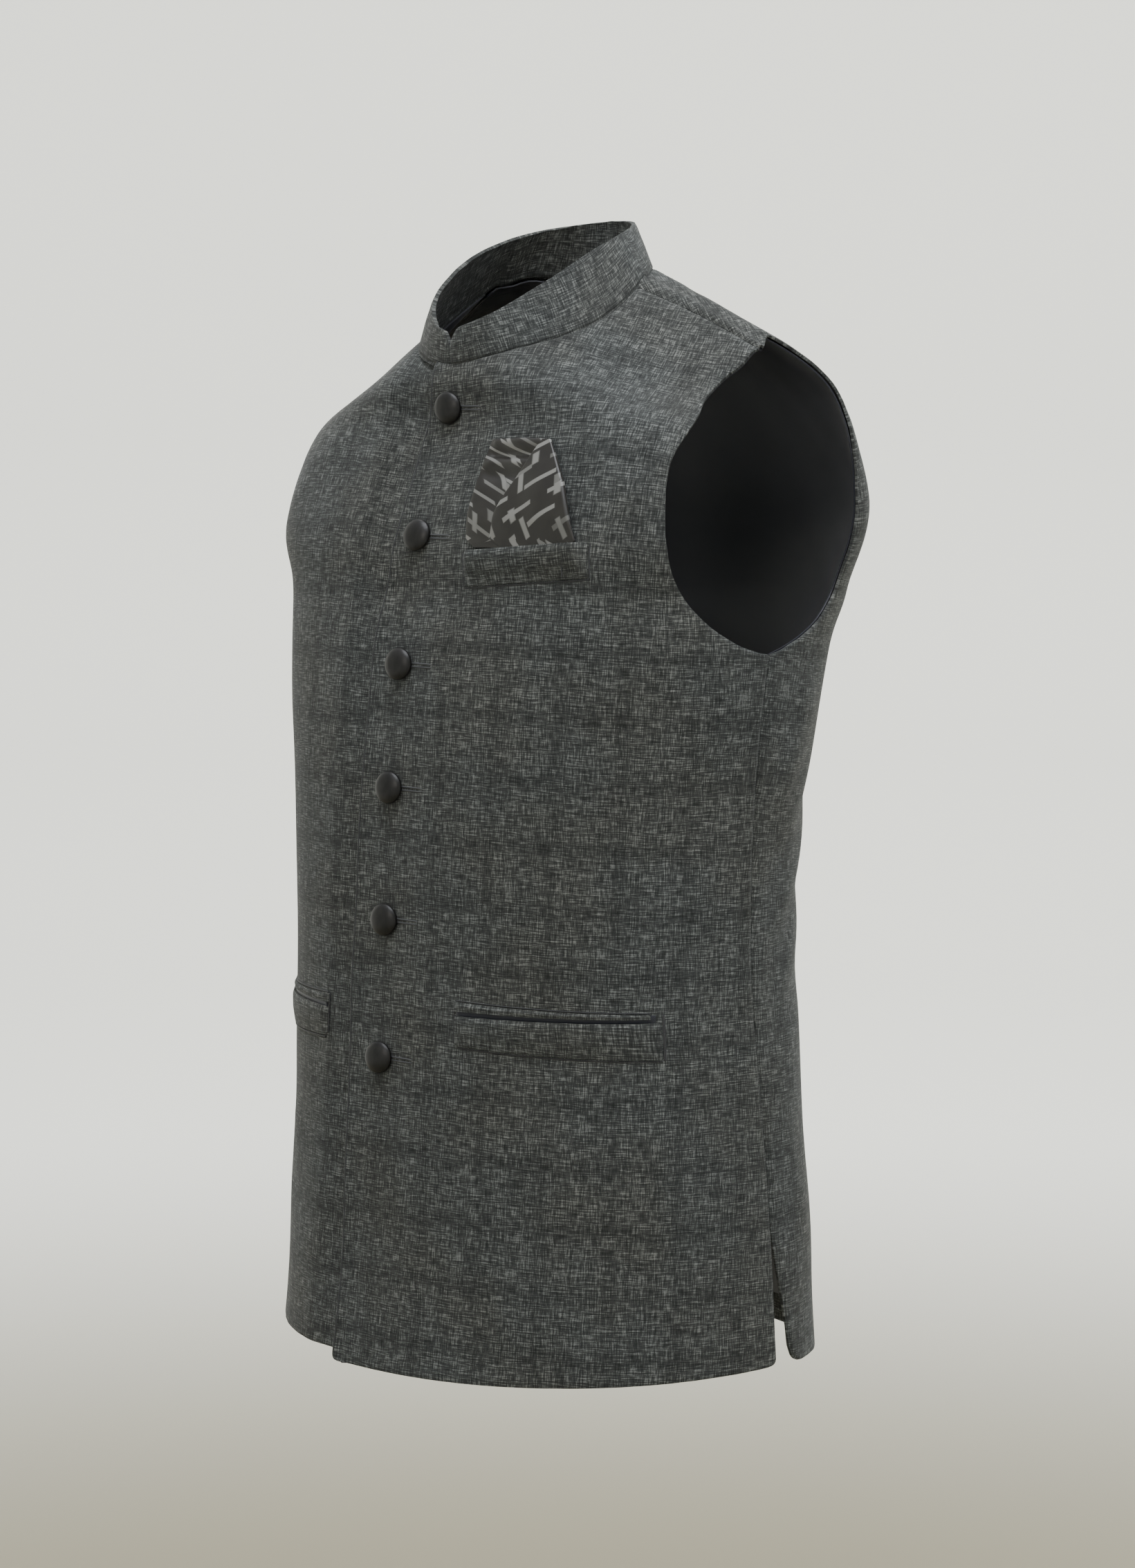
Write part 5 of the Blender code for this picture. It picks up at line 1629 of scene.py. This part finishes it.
def make_backdrop():
    """Matt painted board of the studio's floor and wall: even, with painted shade that makes the middle of
    the floor, under the garment, a little darker and warmer.
    """
    material, tree, shader = start_material("painted_board", Roughness=0.95)
    place = add_node(tree, "ShaderNodeTexCoord").outputs["Object"]
    away = add_node(tree, "ShaderNodeVectorMath", {0: place}, operation="LENGTH").outputs["Value"]
    # Painted shade: the floor is darker and warmer within a few metres of the garment
    share = step_up(tree, away, 1.3, 3.6)
    finish_material(tree, shader, blend(tree, share, paint("backdrop_floor_shade"), paint("backdrop")))
    return material


MATERIALS = {}
MAKERS = {
    "wool": make_wool,
    "lining": make_lining_satin,
    "satin": make_square_satin,
    "horn": make_horn,
    "thread": make_thread_and_slit_shade,
    "backdrop": make_backdrop,
}


def material_of(kind):
    """The one material of each finish, made when it is first asked for."""
    if kind not in MATERIALS:
        MATERIALS[kind] = MAKERS[kind]()
    return MATERIALS[kind]


def add_soft_light(light):
    """Soft box that points at its target."""
    lamp = bpy.data.lights.new(light.name, "AREA")
    lamp.shape = "RECTANGLE"
    lamp.size, lamp.size_y = light.size
    lamp.energy = light.power
    lamp.color = linear(light.colour)
    holder = bpy.data.objects.new(light.name, lamp)
    holder.location = light.location
    toward = Vector(light.target) - Vector(light.location)
    holder.rotation_euler = toward.to_track_quat("-Z", "Y").to_euler()
    bpy.context.scene.collection.objects.link(holder)


def amount(name, description, default, **more):
    """Number that a user can change."""
    return bpy.props.FloatProperty(name=name, description=description, default=default, **more)


def hex_value(name, description, default):
    """Colour that a user can change, as an sRGB hex value."""
    return bpy.props.StringProperty(name=name, description=description, default=default)


class WaistcoatSizes(bpy.types.PropertyGroup):
    """Sizes of the cloth that a user would change."""

    cloth: amount("Cloth", "Thickness of fronts and back in mm", 1.8)
    lining: amount("Lining", "Thickness of the lining in mm", 1.0)
    collar_cloth: amount("Collar", "Thickness of the collar in mm", 2.6)
    fold_strength: amount("Folds", "Depth of folds, times the solid's", 1.0)
    drape: amount("Drape", "Depth of the slow waves, times their heights", 1.0)
    edge_roll: amount("Edge roll", "Dip of turned edges in mm", 1.4)
    edge_roll_width: amount("Roll width", "Width of turned edges in mm", 2.0)
    # Drawn wider than the real 0.5 mm so that the threads show
    thread_pitch: amount("Thread pitch", "Distance between threads", 0.0008, unit="LENGTH")
    check_repeat: amount("Check repeat", "Distance between lines of the check", 0.044, unit="LENGTH")


class WaistcoatColours(bpy.types.PropertyGroup):
    """Colours as sRGB hex values."""

    wool_black: hex_value("Dark thread", "Dark yarn", "#1f2020")
    wool_mid: hex_value("Wool middle", "Main yarn", "#3a3c3b")
    wool_pale: hex_value("Pale thread", "Pale yarn", "#747674")
    wool_cool: hex_value("Cool patches", "Tint of cool patches", "#f0f2f3")
    wool_warm: hex_value("Warm patches", "Tint of warm patches", "#f2f1ee")
    lining_dark: hex_value("Lining dark", "Lining rib", "#0d0f18")
    lining_light: hex_value("Lining light", "Lining face", "#1a1d29")
    satin_dark: hex_value("Satin dark", "Square's shade", "#171614")
    satin_ground: hex_value("Satin ground", "Square's ground", "#282623")
    satin_print: hex_value("Satin print", "Square's print", "#6e6e6b")
    horn_dark: hex_value("Horn dark", "Button's ground", "#0c0c0b")
    horn_light: hex_value("Horn light", "Button's streaks", "#171615")
    # Painted shade inside a buttonhole's slit and down the middle of each line of thread
    slit_and_seam_shade: hex_value("Slit", "Inside a buttonhole", "#17181a")
    thread_light: hex_value("Twist", "Buttonhole thread", "#404244")
    backdrop: hex_value("Backdrop", "Wall, up high", "#eeeee9")
    # Painted shade on the floor under the garment
    backdrop_floor_shade: hex_value("Backdrop low", "Floor, underfoot", "#857f6a")


def sizes():
    """The scene's sizes of the cloth."""
    return bpy.context.scene.waistcoat_sizes


def colours():
    """The scene's colours."""
    return bpy.context.scene.waistcoat_colours


class WAISTCOAT_OT_fronts(bpy.types.Operator):
    """Cut and drape the two fronts."""

    bl_idname = "waistcoat.fronts"
    bl_label = "Fronts"

    def execute(self, context):
        make_front("front_left", 1, material_of("wool"))
        make_front("front_right", -1, material_of("wool"))
        make_edge_stitching_and_shade(material_of("thread"))
        return {"FINISHED"}


class WAISTCOAT_OT_back(bpy.types.Operator):
    """Cut and drape the back."""

    bl_idname = "waistcoat.back"
    bl_label = "Back"

    def execute(self, context):
        make_back("back", material_of("wool"))
        return {"FINISHED"}


class WAISTCOAT_OT_linings(bpy.types.Operator):
    """Hang the linings inside the cloth."""

    bl_idname = "waistcoat.linings"
    bl_label = "Linings"

    def execute(self, context):
        make_front_lining("lining_front_left", 1, material_of("lining"))
        make_front_lining("lining_front_right", -1, material_of("lining"))
        make_back_lining("lining_back", material_of("lining"))
        return {"FINISHED"}


class WAISTCOAT_OT_collar(bpy.types.Operator):
    """Set the stand collar."""

    bl_idname = "waistcoat.collar"
    bl_label = "Collar"

    def execute(self, context):
        make_collar("collar", material_of("wool"))
        return {"FINISHED"}


class WAISTCOAT_OT_pockets(bpy.types.Operator):
    """Sew the breast welt and the hip pockets."""

    bl_idname = "waistcoat.pockets"
    bl_label = "Pockets"

    def execute(self, context):
        wool = material_of("wool")
        make_strip("breast_welt", 1, BREAST_WELT, WELT_MOUTH, 14, wool)
        for name, side in (("left", 1), ("right", -1)):
            make_strip("hip_welt_" + name, side, HIP_WELT, HIP_WELT_MOUTH, 16, wool, HIP_CORNER, HIP_SLIT)
            make_strip("hip_lip_" + name, side, HIP_LIP, HIP_LIP_MOUTH, 5, wool)
            make_mouth_cloth_and_shade("hip_" + name, side, HIP_WELT, material_of("lining"))
        seams = [(1, row) for row in BREAST_STITCHES + HIP_STITCHES] + [(-1, row) for row in HIP_STITCHES]
        for number, (side, row) in enumerate(seams):
            make_stitching_and_shade(number, side, row, material_of("thread"))
        return {"FINISHED"}


class WAISTCOAT_OT_pocket_square(bpy.types.Operator):
    """Fold the pocket square into the breast pocket."""

    bl_idname = "waistcoat.pocket_square"
    bl_label = "Pocket square"

    def execute(self, context):
        make_pocket_square("pocket_square", material_of("satin"))
        return {"FINISHED"}


class WAISTCOAT_OT_buttons(bpy.types.Operator):
    """Sew on the buttons and work their buttonholes."""

    bl_idname = "waistcoat.buttons"
    bl_label = "Buttons"

    def execute(self, context):
        for index in range(len(BUTTON_HEIGHTS)):
            make_button(index, material_of("horn"))
            make_buttonhole(index, material_of("thread"))
        return {"FINISHED"}


class WAISTCOAT_OT_stage(bpy.types.Operator):
    """Set the floor, lights and camera."""

    bl_idname = "waistcoat.stage"
    bl_label = "Stage"

    def execute(self, context):
        make_stage(material_of("backdrop"))
        world = bpy.data.worlds.new("studio")
        world.use_nodes = True
        sky = world.node_tree.nodes["Background"]
        sky.inputs[0].default_value = (*linear(SKY_COLOUR), 1)
        sky.inputs[1].default_value = SKY_POWER
        context.scene.world = world
        for light in LIGHTS:
            add_soft_light(light)
        lens = bpy.data.cameras.new("camera")
        lens.sensor_width = CAMERA_SENSOR
        lens.lens = CAMERA_LENS
        lens.clip_end = CAMERA_END
        camera = bpy.data.objects.new("camera", lens)
        camera.location = CAMERA_PLACE
        camera.rotation_euler = (math.radians(90 - CAMERA_DOWN), 0, math.radians(CAMERA_ROUND))
        context.scene.collection.objects.link(camera)
        context.scene.camera = camera
        return {"FINISHED"}


class WAISTCOAT_PT_pieces(bpy.types.Panel):
    """Lists the pieces, their sizes and their colours."""

    bl_label = "Waistcoat"
    bl_idname = "WAISTCOAT_PT_pieces"
    bl_space_type = "VIEW_3D"
    bl_region_type = "UI"
    bl_category = "Waistcoat"

    def draw(self, context):
        for group in (sizes(), colours()):
            box = self.layout.box()
            for name in group.__annotations__:
                box.prop(group, name)
        for operator in OPERATORS:
            self.layout.operator(operator.bl_idname)


OPERATORS = (
    WAISTCOAT_OT_fronts,
    WAISTCOAT_OT_back,
    WAISTCOAT_OT_linings,
    WAISTCOAT_OT_collar,
    WAISTCOAT_OT_pockets,
    WAISTCOAT_OT_pocket_square,
    WAISTCOAT_OT_buttons,
    WAISTCOAT_OT_stage,
)
CLASSES = (WaistcoatSizes, WaistcoatColours) + OPERATORS + (WAISTCOAT_PT_pieces,)


def register():
    for item in CLASSES:
        bpy.utils.register_class(item)
    bpy.types.Scene.waistcoat_sizes = bpy.props.PointerProperty(type=WaistcoatSizes)
    bpy.types.Scene.waistcoat_colours = bpy.props.PointerProperty(type=WaistcoatColours)


def unregister():
    del bpy.types.Scene.waistcoat_colours
    del bpy.types.Scene.waistcoat_sizes
    for item in reversed(CLASSES):
        bpy.utils.unregister_class(item)


def main():
    """Make every piece in order."""
    register()
    bpy.ops.waistcoat.fronts()
    bpy.ops.waistcoat.back()
    bpy.ops.waistcoat.linings()
    bpy.ops.waistcoat.collar()
    bpy.ops.waistcoat.pockets()
    bpy.ops.waistcoat.pocket_square()
    bpy.ops.waistcoat.buttons()
    bpy.ops.waistcoat.stage()


if __name__ == "__main__":
    main()
